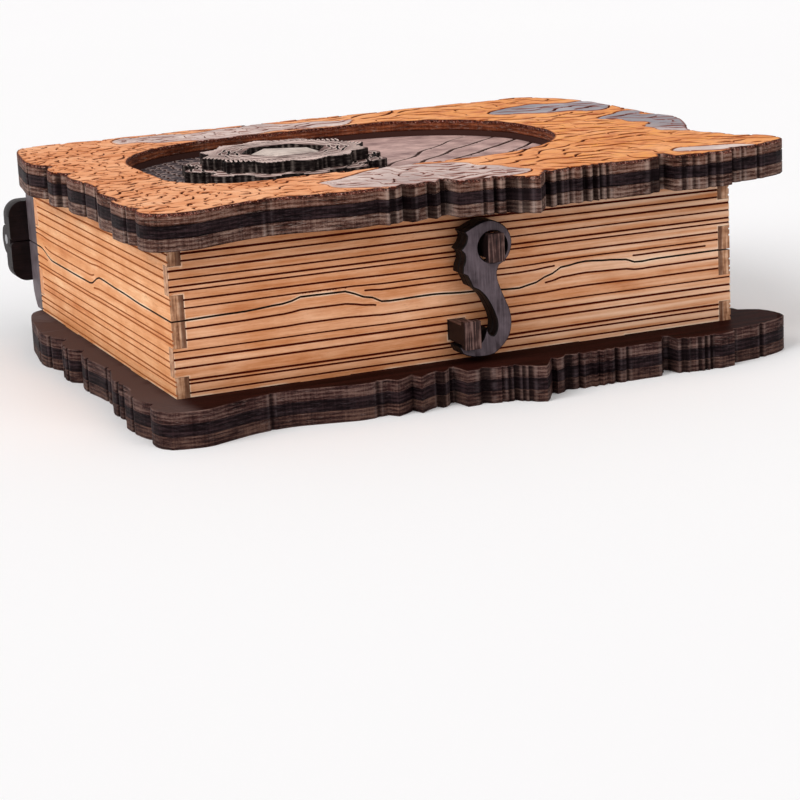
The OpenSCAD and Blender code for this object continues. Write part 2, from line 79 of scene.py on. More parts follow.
# %% [markdown]
# ## Camera
#
# A product picture of a small box is taken from arm's length with a long lens,
# which keeps the box's upright edges nearly parallel. The camera stands to the
# left of the front and a little above the lid, and is tilted a few degrees.

# %% Camera
CAMERA_PLACE = (-0.2473, -0.6178, 0.1495)  # m
CAMERA_AZIMUTH, CAMERA_ELEVATION, CAMERA_ROLL = -22.408, 13.984, -2.869  # degrees
FOCAL_LENGTH, SENSOR = 105.53, 36.0  # mm


def towards(azimuth, elevation):
    """The direction from the chest to a place at these angles, 0 being straight in front."""
    a, e = math.radians(azimuth), math.radians(elevation)
    return Vector((math.sin(a) * math.cos(e), -math.cos(a) * math.cos(e), math.sin(e)))


camera = bpy.data.objects.new("camera", bpy.data.cameras.new("camera"))
camera.data.lens, camera.data.sensor_width = FOCAL_LENGTH, SENSOR
camera.location = CAMERA_PLACE
camera.rotation_mode = "QUATERNION"
level = (-towards(CAMERA_AZIMUTH, CAMERA_ELEVATION)).to_track_quat("-Z", "Y")
camera.rotation_quaternion = level @ Quaternion((0, 0, 1), math.radians(CAMERA_ROLL))
bpy.context.scene.collection.objects.link(camera)
bpy.context.scene.camera = camera
print("camera", CAMERA_PLACE)

# %% [markdown]
# ## Finishes as sums
#
# A procedural finish is a network of nodes, and a network is hard to read. One
# small class wraps a node's output, so that `0.6 * grain + 0.4 * pores` makes
# its own Math nodes and reads like the sum that it is.


# %% The wrapper for a node's output
class Field:
    """A value that varies over a surface."""

    def __init__(self, finish, socket):
        self.finish, self.socket = finish, socket

    def math(self, operation, *inputs):
        return self.finish.node("ShaderNodeMath", {"operation": operation}, dict(enumerate(inputs)))

    def __add__(self, other):
        return self.math("ADD", self, other)

    def __sub__(self, other):
        return self.math("SUBTRACT", self, other)

    def __rsub__(self, other):
        return self.math("SUBTRACT", other, self)

    def __mul__(self, other):
        return self.math("MULTIPLY", self, other)

    def __truediv__(self, other):
        return self.math("DIVIDE", self, other)

    __radd__, __rmul__ = __add__, __mul__

    def sine(self):
        return self.math("SINE", self)

    def higher(self, other):
        return self.math("MAXIMUM", self, other)

    def size(self):
        return self.math("ABSOLUTE", self)

    def rise(self, start, end):
        """0 up to start, 1 from end, and a smooth step between them."""
        settings = {"interpolation_type": "SMOOTHSTEP"}
        return self.finish.node("ShaderNodeMapRange", settings, {0: self, 1: start, 2: end})


print("a field's own steps:", [name for name in vars(Field) if not name.startswith("__")])

# %% [markdown]
# ## One class for a finish
#
# Every finish is a Principled shader with a few fields joined to it. One class
# holds the material, and its method `node` makes every kind of node. The rest
# gives what wood needs by name: stretched noise for the grain, a ramp for its
# tones, and `painted` for what the carving leaves on the mesh.


# %% The class that holds one finish
def stain(code):
    """A colour in linear light, from its hex code."""
    parts = [int(code[i:i + 2], 16) / 255 for i in (1, 3, 5)]
    return (*(p / 12.92 if p <= 0.04045 else ((p + 0.055) / 1.055) ** 2.4 for p in parts), 1.0)


class Finish:
    """One material, with a Principled shader whose constants are given by name."""

    def __init__(self, name, **constants):
        self.material = bpy.data.materials.new(name)
        self.material.use_nodes = True
        self.tree = self.material.node_tree
        self.shader = self.tree.nodes["Principled BSDF"]
        for key, value in constants.items():
            self.shader.inputs[key.replace("_", " ").replace("ior", "IOR")].default_value = value
        where = self.node("ShaderNodeTexCoord", output="Object")
        self.place = self.stretch(where, (1000, 1000, 1000))

    def node(self, kind, settings=None, inputs=None, output=0):
        """A node of any kind: its settings first, then the values or links of its sockets."""
        made = self.tree.nodes.new(kind)
        for name, value in (settings or {}).items():
            if name == "stops":
                ramp = made.color_ramp.elements
                ramp.remove(ramp[1])
                for at, colour in value[1:]:
                    ramp.new(at).color = colour
                ramp[0].position, ramp[0].color = value[0]
            else:
                setattr(made, name, value)
        for key, value in (inputs or {}).items():
            if isinstance(value, Field):
                self.tree.links.new(value.socket, made.inputs[key])
            else:
                made.inputs[key].default_value = value
        return Field(self, made.outputs[output])

    def stretch(self, vector, factors):
        """A vector with each of its parts multiplied by its own factor."""
        return self.node("ShaderNodeVectorMath", {"operation": "MULTIPLY"}, {0: vector, 1: factors})

    def axes(self, vector=None):
        """The three parts of a vector, in mm where it is the place on the chest."""
        split = self.tree.nodes.new("ShaderNodeSeparateXYZ")
        self.tree.links.new((vector or self.place).socket, split.inputs[0])
        return [Field(self, out) for out in split.outputs]

    def noise(self, size, detail=4.0, roughness=0.55):
        """Noise from 0 to 1 whose spots are about this size, (x, y, z) in mm."""
        at = self.stretch(self.place, tuple(1 / s for s in size))
        inputs = {"Vector": at, "Scale": 1.0, "Detail": detail, "Roughness": roughness}
        return self.node("ShaderNodeTexNoise", None, inputs)

    def ramp(self, value, *stops):
        """The colour at a value, from stops that pair a value with a hex code."""
        stops = [(at, stain(code)) for at, code in stops]
        return self.node("ShaderNodeValToRGB", {"stops": stops}, {0: value})

    def mix(self, share, first, second):
        """The first colour where share is 0 and the second where it is 1."""
        first, second = (stain(c) if isinstance(c, str) else c for c in (first, second))
        return self.node("ShaderNodeMix", {"data_type": "RGBA"}, {0: share, 6: first, 7: second}, output=2)

    def painted(self, name):
        """A value that the mesh carries at its points."""
        return self.node("ShaderNodeAttribute", {"attribute_name": name}, output="Fac")

    def facing(self, axis):
        """1 on faces that look along this axis of the chest, 0 on the others."""
        normal = self.node("ShaderNodeTexCoord", output="Normal")
        return self.axes(normal)[axis].size().rise(0.6, 0.8)

    def wear(self, colour, roughness=None, height=None, depth=0.1):
        """Joins the finish to the shader. The height field stands depth mm high."""
        for key, value in (("Base Color", colour), ("Roughness", roughness)):
            if value is not None:
                self.tree.links.new(value.socket, self.shader.inputs[key])
        if height is not None:
            bump = self.node("ShaderNodeBump", None, {"Distance": depth / 1000, "Height": height})
            self.tree.links.new(bump.socket, self.shader.inputs["Normal"])
        return self.material


print("finish classes ready")

# %% [markdown]
# ## Floor and light
#
# The chest stands on a pale floor under large, soft lights, so its stain shows
# its own colour. The world gives the even part of the light. Rays that come
# straight from the camera or from a glossy surface see it as plain white.

# %% Floor and light
WORLD_LEVEL = 0.42
# For each lamp: azimuth and elevation in degrees, strength, and its spread in degrees
LAMPS = {"key": (-72, 36, 1.75, 35), "fill": (18, 34, 0.75, 40), "top": (-20, 76, 0.35, 60)}

world = bpy.data.worlds.new("studio")
world.use_nodes = True
bpy.context.scene.world = world
background = world.node_tree.nodes["Background"]
path = world.node_tree.nodes.new("ShaderNodeLightPath")
seen = world.node_tree.nodes.new("ShaderNodeMath")
seen.operation = "MAXIMUM"
level_of_ray = world.node_tree.nodes.new("ShaderNodeMapRange")
level_of_ray.inputs["To Min"].default_value = WORLD_LEVEL
world.node_tree.links.new(path.outputs["Is Camera Ray"], seen.inputs[0])
world.node_tree.links.new(path.outputs["Is Glossy Ray"], seen.inputs[1])
world.node_tree.links.new(seen.outputs[0], level_of_ray.inputs["Value"])
world.node_tree.links.new(level_of_ray.outputs[0], background.inputs["Strength"])
background.inputs["Color"].default_value = (1, 1, 1, 1)

for name, (azimuth, elevation, strength, spread) in LAMPS.items():
    lamp = bpy.data.objects.new(name, bpy.data.lights.new(name, "SUN"))
    lamp.data.energy, lamp.data.angle = strength, math.radians(spread)
    lamp.rotation_mode = "QUATERNION"
    lamp.rotation_quaternion = towards(azimuth, elevation).to_track_quat("Z", "Y")
    bpy.context.scene.collection.objects.link(lamp)

FLOOR_HALF = 4.0
floor_mesh = bpy.data.meshes.new("floor")
corners = [(x * FLOOR_HALF, y * FLOOR_HALF, 0) for x, y in ((-1, -1), (1, -1), (1, 1), (-1, 1))]
floor_mesh.from_pydata(corners, [], [(0, 1, 2, 3)])
floor = bpy.data.objects.new("floor", floor_mesh)
bpy.context.scene.collection.objects.link(floor)
paper = Finish("floor_paper", Roughness=0.9)
tone = paper.noise((400, 400, 400), detail=2)
floor_mesh.materials.append(paper.wear(paper.mix(tone, "#fbf9fa", "#fdfcfc")))
floor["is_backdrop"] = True
bpy.context.scene.view_settings.view_transform = "Standard"
print("world", WORLD_LEVEL, "lamps", list(LAMPS))

# %% [markdown]
# ## Page wood
#
# The walls are pale plywood with a warm oil stain. The grain runs along each
# wall, so its noise is stretched that way: long soft bands for the growth
# rings, short dark dashes for the pores. The laser's lines are carved into the
# mesh further on. Each point there carries a value that is 1 at the bottom of
# a line, and the finish darkens with it. The pale bands are painted paler
# towards the right as a painted highlight, and a band along each wall's rim
# is painted pale, partly as wear and partly as a painted highlight.

# %% Page wood
INNER_STRIP = 79.0  # mm from the middle, up to where the side walls' end grain is dark


def page_wood(name, along, tones, line):
    """The walls' finish. along is the grain's axis, 0 for x and 1 for y, and line the charred lines' colour."""
    wood = Finish(name, Specular_ior_Level=0.06)

    def long_way(length, across):
        return tuple(length if i == along else across for i in range(3))

    bands = wood.noise(long_way(90, 1.7), detail=2)
    fibre = wood.noise(long_way(7, 0.35), detail=5, roughness=0.7)
    cloud = wood.noise((16, 16, 7), detail=5, roughness=0.6)
    pores = wood.noise(long_way(1.6, 0.2), detail=2).rise(0.6, 0.72)
    figure = 0.34 * bands + 0.3 * fibre + 0.38 * cloud
    colour = wood.ramp(figure, *zip((0.34, 0.45, 0.55, 0.68), tones))
    colour = wood.mix(pores * 0.35, colour, "#a0603a")
    x, _, _ = wood.axes()
    # Paler towards the right, in the pale bands: a painted highlight.
    colour = wood.mix((x + 30 * cloud).rise(10, 70) * bands.rise(0.35, 0.65) * 0.45, colour, "#fbd9bd")
    # A band along the rim painted pale: partly wear, partly a painted highlight.
    colour = wood.mix(wood.painted("worn") * cloud.rise(0.42, 0.6) * 0.8, colour, "#fbe2c6")
    burn = wood.painted("burn")
    colour = wood.mix(burn.rise(0.0, 0.45), colour, line)
    polish = 0.42 + 0.2 * fibre + 0.25 * burn
    return wood.wear(colour, polish, 0.6 * fibre + 0.4 * pores, depth=0.05)


def page_ends(name):
    """The end grain at the corner fingers, with upright plies, a dark inner strip and charred level edges."""
    wood = Finish(name, Specular_ior_Level=0.2)
    plies = wood.noise((0.7, 0.7, 9), detail=3, roughness=0.6)
    soot = wood.noise((3, 3, 2), detail=4)
    colour = wood.ramp(0.6 * plies + 0.4 * soot, (0.36, "#6b4029"), (0.5, "#b07f5e"), (0.62, "#dcb192"))
    x, _, _ = wood.axes()
    from_middle = x.size() + 0.8 * plies
    colour = wood.mix(from_middle.rise(INNER_STRIP, INNER_STRIP - 0.8) * 0.75, colour, "#4f2a1a")
    colour = wood.mix(wood.facing(2), colour, "#33130b")
    return wood.wear(colour, 0.5 + 0.2 * plies, plies, depth=0.06)


PAGE_FACES = {0: page_wood("page_wood_front", 0, ("#b2653a", "#cd885b", "#dea078", "#f0bb96"), "#4c1003"),
              1: page_wood("page_wood_side", 1, ("#c67743", "#dd9662", "#ecae7e", "#fbd0a2"), "#a8633a")}
PAGE_ENDS = page_ends("page_ends")
print("page wood for the grain along", list(PAGE_FACES))

# %% [markdown]
# ## Cover sheets
#
# A laser cut leaves the edge of plywood dark, with fine upright marks from the
# beam and thin level lines where the plies meet. Each sheet of a cover has its
# own stain, so a cover's edge shows as three bands.

# %% Cover edges and faces
PLY = 1.07  # mm, three to a sheet
NEAR_WINDOW = (76, 56)  # mm from the middle of the lid, between the window and the sheet's outline


def cut_edge(name, dark, mid, light, ash="#9a8c86", window=None, rim=None):
    """The edge of a stained sheet as the laser leaves it, with painted shade in the flutes and a painted
    highlight on their ridges.

    window is the stain of the window's wall, and rim the height in mm of a rim that is charred dark red, with
    pale specks that are partly a painted highlight.
    """
    edge = Finish(name, Specular_ior_Level=0.03)
    grain = edge.noise((5, 5, 0.3), detail=5, roughness=0.7)
    speckle = edge.noise((0.5, 0.5, 0.22), detail=3, roughness=0.7)
    beam = edge.noise((0.5, 0.5, 30), detail=3, roughness=0.6)
    patches = edge.noise((9, 9, 2.2), detail=5, roughness=0.6)
    _, _, z = edge.axes()
    plies = (z * (2 * math.pi / PLY) + 2.2 * patches + 1.5 * grain).sine()
    figure = 0.3 * grain + 0.2 * speckle + 0.16 * beam + 0.34 * patches + 0.035 * plies
    colour = edge.ramp(figure, (0.4, dark), (0.49, mid), (0.6, light))
    if window:
        x, y, _ = edge.axes()
        out = (x / NEAR_WINDOW[0]).size().higher((y / NEAR_WINDOW[1]).size())
        colour = edge.mix(out.rise(0.98, 1.0), edge.ramp(figure, *zip((0.38, 0.5, 0.64), window)), colour)
    if rim:
        # Charred dark red at the rim, with pale specks that are partly a painted highlight.
        charred = edge.ramp(speckle, (0.4, "#2c0c08"), (0.52, "#64261c"), (0.6, "#9c5a48"), (0.68, "#f0d2c4"))
        colour = edge.mix((z + 1.4 * patches).rise(rim - 0.4, rim + 0.2) * 0.8, colour, charred)
    fleck = edge.noise((2.6, 2.6, 0.13), detail=3).rise(0.58, 0.68)
    colour = edge.mix(fleck * 0.5, colour, ash)
    # A painted highlight on the flutes' ridges, in the pale ash colour.
    colour = edge.mix(edge.painted("worn") * patches.rise(0.35, 0.6) * 0.45, colour, ash)
    # Painted shade in the flutes, and char where lines and the rim's bites reach the edge.
    colour = edge.mix(edge.painted("burn").rise(0.0, 0.7) * 0.75, colour, "#080304")
    return edge.wear(colour, 0.4 + 0.3 * beam, 0.4 * grain + 0.2 * speckle + 0.4 * beam, depth=0.14)


def stained_face(name, dark, mid, light, dusty):
    """The flat side of a stained sheet, with its grain along x and its ledge on the left dusty."""
    face = Finish(name, Specular_ior_Level=0.005)
    bands = face.noise((60, 4, 4), detail=3)
    fibre = face.noise((9, 0.5, 0.5), detail=5, roughness=0.7)
    figure = 0.5 * bands + 0.5 * fibre
    colour = face.ramp(figure, (0.36, dark), (0.5, mid), (0.66, light))
    x, _, _ = face.axes()
    colour = face.mix((x + 6 * bands).rise(-74, -80), colour, dusty)
    return face.wear(colour, 0.36 + 0.25 * fibre, fibre, depth=0.05)


BOTTOM_FACE = stained_face("bottom_face", "#140604", "#260f0c", "#3d1d17", "#54413d")
OUTER_EDGE = cut_edge("outer_edge", "#120606", "#33201e", "#63493f", ash="#75625c")
MIDDLE_EDGE = cut_edge("middle_edge", "#070304", "#170d0f", "#352628", ash="#4e4346")
INNER_EDGE = cut_edge("inner_edge", "#140808", "#3a2422", "#6d544c", ash="#806c66")
TOP_EDGE = cut_edge("top_edge", "#1c0d0a", "#4d332c", "#8a7064", ash="#a3928a")
print("cover edges ready")

# %% [markdown]
# ## The carved sheet's stain
#
# The top sheet is bright orange-brown with grey fields. A field's border has
# to be known twice, by the shader that colours it and by the carving that
# follows it. So one formula, written with plain operators, serves both: given
# arrays it returns numbers, and given shader values it builds nodes.

# %% Grey fields, as one formula for the carving and for the shader
# For each field: the x and y of its middle, and its reach along x and y, in mm
ASH_FIELDS = [(-22, 55, 38, 10), (-9, -64, 25, 18), (80, 36, 20, 12), (89, -14, 9, 30), (70, -74, 11, 5)]


def sine(value):
    return value.sine() if isinstance(value, Field) else np.sin(value)


def higher(first, second):
    return first.higher(second) if isinstance(first, Field) else np.maximum(first, second)


def ash_level(x, y):
    """Above 0 within the grey fields and below 0 outside them."""
    u = x + 3.2 * sine(y / 5.1 + 1.0) + 1.3 * sine(y / 1.9)
    v = y + 2.6 * sine(x / 6.3) + 1.1 * sine(x / 2.3 + 2.0)
    top = None
    for middle_x, middle_y, reach_x, reach_y in ASH_FIELDS:
        across, along = (u - middle_x) / reach_x, (v - middle_y) / reach_y
        level = 1.0 - across * across - along * along
        top = level if top is None else higher(top, level)
    return top


print(len(ASH_FIELDS), "grey fields")

# %% [markdown]
# ## Orange stain
#
# The stain is rubbed in by hand, so it is never even: paler where the wood is
# dense, redder in patches, and golden towards the right. The red patches are
# partly painted shade that stands in for the relief's bumps. The engraved lines
# darken it in two steps, to a red-brown band at their shoulders that is partly
# scorch and partly painted shade, and to near-black char at their floor.


# %% Orange stain
def carved_stain():
    """The orange face with its grey fields and dark lines, whose halo is partly painted shade."""
    wood = Finish("carved_stain", Specular_ior_Level=0.05)
    x, y, _ = wood.axes()
    bands = wood.noise((30, 9, 9), detail=3)
    fibre = wood.noise((5, 0.6, 0.6), detail=5, roughness=0.7)
    cloud = wood.noise((13, 13, 13), detail=4)
    figure = 0.35 * bands + 0.3 * fibre + 0.35 * cloud
    orange = wood.ramp(figure, (0.36, "#cb7a48"), (0.46, "#e89a68"), (0.56, "#f6b182"), (0.68, "#fdcaa2"))
    golden = wood.ramp(figure, (0.36, "#c56d38"), (0.5, "#ea9a5c"), (0.66, "#f9b682"))
    orange = wood.mix((x + 40 * cloud).rise(10, 60), orange, golden)
    patches_and_shade = wood.noise((6, 3.2, 6), detail=5, roughness=0.65)
    # Dark red patches: partly the stain's own patches, partly painted shade of the relief's bumps.
    orange = wood.mix(patches_and_shade.rise(0.5, 0.66) * (0.25 + 0.4 * x.rise(-20, 70)), orange, "#a84a20")
    orange = wood.mix(patches_and_shade.rise(0.48, 0.34) * x.rise(-10, 60) * 0.6, orange, "#f2a548")
    ash = wood.ramp(figure, (0.36, "#9d8682"), (0.5, "#cbb3ac"), (0.64, "#efdbd2"))
    slate = wood.ramp(figure, (0.36, "#6e686d"), (0.5, "#958e93"), (0.64, "#bdb5b9"))
    ash = wood.mix((x + 0.6 * y + 25 * cloud).rise(60, 90), ash, slate)
    colour = wood.mix(ash_level(x, y).rise(-0.02, 0.06), orange, ash)
    burn = wood.painted("burn")
    # A red-brown halo beside each line: partly scorch, partly painted shade.
    colour = wood.mix(burn.rise(0.0, 0.4) * (0.5 + 0.2 * x.rise(-40, 30)), colour, "#8c3410")
    colour = wood.mix(burn.rise(0.34, 0.72), colour, "#3c1105")
    return wood.wear(colour, 0.5 + 0.2 * fibre + 0.2 * burn, 0.7 * fibre + 0.3 * cloud, depth=0.08)


CARVED_FACE = carved_stain()
CARVED_EDGE = cut_edge("carved_edge", "#210e0a", "#57382e", "#8c6d60", ash="#b39c90",
                       window=("#30130b", "#613120", "#a05c3c"), rim=1000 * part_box("top_cover_carved")[1].z)
print("carved sheet's stain ready")

# %% [markdown]
# ## Dark finishes
#
# The window's floor is grey-mauve, and the medallion on it is black with a
# painted highlight on its ridges. The hook, spine and hinge have a slate or
# near-black stain. The ridges catch the light only if they are paler there, so
# the carving also paints a pale value along the shoulders of each line: a
# painted highlight. The window's floor is also painted darker towards the left,
# as painted shade.

# %% Dark finishes
def dark_carving(name, dark, light, highlight_colour, rub_and_highlight, gloss, burnt_and_shaded="#0b0809", shade=None):
    """A dark stain with a painted highlight along the shoulders of the carved lines.

    rub is how strong the painted highlight is, and shade a darker colour that takes over towards the left as
    painted shade.
    """
    wood = Finish(name, Specular_ior_Level=0.02)
    fibre = wood.noise((6, 0.6, 0.6), detail=5, roughness=0.7)
    cloud = wood.noise((9, 9, 9), detail=4)
    colour = wood.ramp(0.5 * fibre + 0.5 * cloud, (0.38, dark), (0.64, light))
    if shade:
        x, _, _ = wood.axes()
        # Painted shade: darker towards the left.
        colour = wood.mix((x + 12 * cloud).rise(-24, 6), shade, colour)
    # Painted highlight on the shoulders of the lines.
    worn = wood.painted("worn") * cloud.rise(0.25, 0.5)
    colour = wood.mix(worn * rub_and_highlight, colour, highlight_colour)
    # Dark at the lines' floors, and along a sunk floor's edge as painted shade.
    burn = wood.painted("burn")
    colour = wood.mix(burn.rise(0.0, 0.6), colour, burnt_and_shaded)
    return wood.wear(colour, gloss + 0.25 * fibre, fibre, depth=0.06)


def slate_stain(name, dark, light, along=2):
    """Slate-grey faces, brushed along one axis."""
    wood = Finish(name, Specular_ior_Level=0.11)
    brushed = wood.noise(tuple(9 if i == along else 0.5 for i in range(3)), detail=5, roughness=0.7)
    cloud = wood.noise((4, 4, 4), detail=4)
    colour = wood.ramp(0.55 * brushed + 0.45 * cloud, (0.36, dark), (0.66, light))
    return wood.wear(colour, 0.38 + 0.25 * brushed, brushed, depth=0.06)


def peg_stain():
    """Dark left and right, with upright ply lines on the front."""
    wood = Finish("peg_stain", Specular_ior_Level=0.15)
    plies = wood.noise((0.42, 40, 12), detail=3, roughness=0.6)
    soot = wood.noise((2, 2, 2), detail=4)
    ends = wood.ramp(0.7 * plies + 0.3 * soot, (0.38, "#0e0505"), (0.5, "#38221f"), (0.62, "#715650"))
    colour = wood.mix(wood.facing(0), ends, "#160b0b")
    return wood.wear(colour, 0.42 + 0.2 * soot, plies, depth=0.1)


# The window floor's left part and its sunk edge are painted dark as shade, and its lines' shoulders get a
# painted highlight.
WINDOW_FLOOR = dark_carving("window_floor", "#7f6462", "#dbb6ad", "#e2c6be", rub_and_highlight=0.5, gloss=0.45,
                            burnt_and_shaded="#3e2723", shade="#3a3134")
MEDALLION_FACE = dark_carving("medallion_face", "#3d2825", "#8c6b64", "#ffe4da", rub_and_highlight=1.0, gloss=0.4)
BOSS_FACE = dark_carving("boss_face", "#94827a", "#e8d6cb", "#f6e6db", rub_and_highlight=0.5, gloss=0.35)
LACQUER_EDGE = cut_edge("lacquer_edge", "#0e0909", "#241c1b", "#4a3e3b", ash="#a2948c")
HOOK_FACE = slate_stain("hook_face", "#382e32", "#675a60")
HOOK_EDGE = slate_stain("hook_edge", "#060404", "#151011")
SPINE_FACE = slate_stain("spine_face", "#1d1315", "#3b2c2f", along=0)
SPINE_END = slate_stain("spine_end", "#453b3e", "#74696d")
HINGE_FACE = slate_stain("hinge_face", "#0a0505", "#231719", along=0)
PEG = peg_stain()
print("dark finishes ready")

# %% [markdown]
# ## Inside and fittings
#
# Nobody sees the inside of a shut chest, but the lid opens. The dividers are
# plain oiled ply, the trays are lined with dark red felt, and the hinge turns
# on a steel pin.


# %% Inside and fittings
def divider_wood():
    wood = Finish("divider_wood", Specular_ior_Level=0.35)
    fibre = wood.noise((9, 9, 0.5), detail=5, roughness=0.7)
    cloud = wood.noise((18, 18, 6), detail=3)
    plies = wood.noise((0.6, 0.6, 40), detail=2)
    side = wood.ramp(0.5 * fibre + 0.5 * cloud, (0.36, "#a86b3d"), (0.5, "#c98d5b"), (0.66, "#dfab7b"))
    top = wood.ramp(plies, (0.4, "#6e4426"), (0.6, "#b98255"))
    return wood.wear(wood.mix(wood.facing(2), side, top), 0.5 + 0.2 * fibre, fibre, depth=0.05)


def steel():
    metal = Finish("pin_steel", Metallic=1.0)
    turned = metal.noise((0.3, 6, 6), detail=3)
    colour = metal.ramp(turned, (0.3, "#8f8f92"), (0.7, "#b9b9bc"))
    return metal.wear(colour, 0.28 + 0.2 * turned, turned, depth=0.02)


def felt_finish():
    felt = Finish("felt", Specular_ior_Level=0.1, Sheen_Weight=0.4, Sheen_Roughness=0.6)
    fuzz = felt.noise((0.35, 0.35, 0.35), detail=4, roughness=0.8)
    cloud = felt.noise((12, 12, 12), detail=4)
    colour = felt.ramp(0.6 * fuzz + 0.4 * cloud, (0.36, "#4a0f14"), (0.5, "#701a20"), (0.66, "#93303a"))
    return felt.wear(colour, 0.85 + 0.1 * fuzz, fuzz, depth=0.25)


DIVIDER, STEEL, FELT = divider_wood(), steel(), felt_finish()
print("inside finishes ready")

# %% [markdown]
# ## Reading a sheet's outline
#
# Every sheet of the chest is a flat outline of one thickness. To engrave it,
# its face is meshed afresh, with points along every engraved line. The outline
# is read from the frame's own piece, so that the carved sheet fits where the
# plain one was. All of this works in millimetres on the sheet's own plane.

# %% Outlines of the frame's sheets
SAME_FACE = 0.01  # mm within which points lie on one flat face


class Plane:
    """A sheet's own axes: right and up on the face that looks along facing."""

    def __init__(self, facing):
        self.facing = np.array(facing, float)
        self.right = np.array((1.0, 0, 0)) if facing[2] else np.cross((0, 0, 1.0), self.facing)
        self.up = np.cross(self.facing, self.right)

    def flat(self, points):
        return np.stack([points @ self.right, points @ self.up], 1)

    def solid(self, flat, height):
        height = np.broadcast_to(height, len(flat))[:, None]
        return flat[:, :1] * self.right + flat[:, 1:] * self.up + height * self.facing


def sheet_loops(node, plane):
    """The outline of a node's outermost flat face, the height of that face and the sheet's thickness.

    The outline is a list of closed loops with the solid on their left.
    """
    mesh = nodes[node].data
    points = np.empty(len(mesh.vertices) * 3)
    mesh.vertices.foreach_get("co", points)
    points = points.reshape(-1, 3) * 1000
    mesh.calc_loop_triangles()
    corners = np.empty(len(mesh.loop_triangles) * 3, int)
    mesh.loop_triangles.foreach_get("vertices", corners)
    triangles = points[corners.reshape(-1, 3)]
    height = triangles @ plane.facing
    face = triangles[height.min(1) > height.max() - SAME_FACE]
    flat, index = np.unique(np.round(plane.flat(face.reshape(-1, 3)), 3), axis=0, return_inverse=True)
    index = index.reshape(-1, 3)
    sides = {(int(t[i]), int(t[(i + 1) % 3])) for t in index for i in range(3)}
    follow = {a: b for a, b in sides if (b, a) not in sides}
    loops = []
    while follow:
        start, here = follow.popitem()
        loop = [start]
        while here != start:
            loop.append(here)
            here = follow.pop(here)
        loops.append(flat[loop])
    return loops, float(height.max()), float(height.max() - height.min())


print("sheets are read to", SAME_FACE, "mm")

# %% [markdown]
# ## Working on an outline
#
# An outline is a closed loop of points. Three steps are needed again and
# again: more points along its sides, a copy that lies a little further in, and
# a test of which points it holds. Moving a loop in goes wrong at very sharp
# corners, whose point would run far, so a limit keeps them short.


# %% Outlines as loops of points
MITRE = 0.6  # the least that a corner may count as turning, as 1 plus the cosine of its turn


def refined(loop, longest, cuts):
    """The loop with no side over longest mm, and with a point wherever a cut's value changes sign."""
    points = []
    for a, b in zip(loop, np.roll(loop, -1, 0)):
        steps = max(1, math.ceil(np.linalg.norm(b - a) / longest))
        points += [a + (b - a) * i / steps for i in range(steps)]
    points = np.array(points)
    for cut in cuts:
        value, ahead = cut(points), np.roll(points, -1, 0)
        later = np.roll(value, -1)
        crossed = np.nonzero(value * later < 0)[0]
        share = value[crossed] / (value[crossed] - later[crossed])
        met = points[crossed] + (ahead[crossed] - points[crossed]) * share[:, None]
        keep = (share > 0.05) & (share < 0.95)
        points = np.insert(points, crossed[keep] + 1, met[keep], axis=0)
    return points


def moved_in(loop, distance):
    """The loop's points moved into the solid by this distance."""
    ahead = np.roll(loop, -1, 0) - loop
    ahead /= np.linalg.norm(ahead, axis=1)[:, None]
    normal = np.stack([-ahead[:, 1], ahead[:, 0]], 1)
    before = np.roll(normal, 1, 0)
    lean = 1 + (normal * before).sum(1)
    return loop + (normal + before) * (distance / np.maximum(lean, MITRE))[:, None]


def inside(points, loops):
    """Which points lie within the loops, with holes counted out."""
    hit = np.zeros(len(points), bool)
    for loop in loops:
        for (x0, y0), (x1, y1) in zip(loop, np.roll(loop, -1, 0)):
            if y0 != y1:
                level = (points[:, 1] >= min(y0, y1)) & (points[:, 1] < max(y0, y1))
                met = x0 + (points[level, 1] - y0) * (x1 - x0) / (y1 - y0)
                hit[level] ^= points[level, 0] < met
    return hit


print("outline readers ready")

# %% [markdown]
# ## An engraved line
#
# The laser leaves a narrow V with a flat floor. A displacement map could fake
# it, but only with a fine grid over the whole sheet. Rows of points along each
# line give a crisp groove with far fewer faces: two rows at its shoulders, two
# at its floor, and two further out where its dark halo, partly scorch and partly
# painted shade, is to fade.

# %% Engraved lines
FLOOR_SHARE = 0.5  # how much of a groove's width is its flat floor
TIP_WIDTH = 0.6  # of a tapered line's width, at its two ends


class Stroke:
    """An engraved line: the points of its middle, and half its width at each.

    A nib of 0.5 halves the width where the line runs upright.
    """

    def __init__(self, middle, half, tapered=True, nib=0.0):
        self.middle = np.asarray(middle, float)
        way = np.gradient(self.middle, axis=0)
        upright = abs(way[:, 1]) / np.maximum(np.linalg.norm(way, axis=1), 1e-9)
        self.half = half * (1 - nib * upright ** 4)
        if tapered:
            along = np.linspace(0, 1, len(self.middle))
            self.half *= TIP_WIDTH + (1 - TIP_WIDTH) * np.minimum(1, 4 * np.minimum(along, 1 - along))

    def rows(self, halo):
        """The points that the mesh gets for this line."""
        way = np.gradient(self.middle, axis=0)
        way /= np.maximum(np.linalg.norm(way, axis=1), 1e-9)[:, None]
        side = np.stack([-way[:, 1], way[:, 0]], 1)
        reach = [-1, -FLOOR_SHARE, FLOOR_SHARE, 1] + ([-1 - halo, 1 + halo] if halo else [])
        tips = [self.middle[i] + k * way[i] * self.half[i] for i, k in ((0, -1), (-1, 1))]
        return np.concatenate([self.middle + side * (k * self.half)[:, None] for k in reach] + [tips])

    def samples(self, step=0.2):
        """Places close together along the line as rows of x, y and half width."""
        gone = np.concatenate([[0], np.cumsum(np.linalg.norm(np.diff(self.middle, axis=0), axis=1))])
        at = np.linspace(0, gone[-1], max(2, int(gone[-1] / step)))
        return np.stack([np.interp(at, gone, column) for column in (*self.middle.T, self.half)], 1)


print("a groove's floor is", FLOOR_SHARE, "of its width")

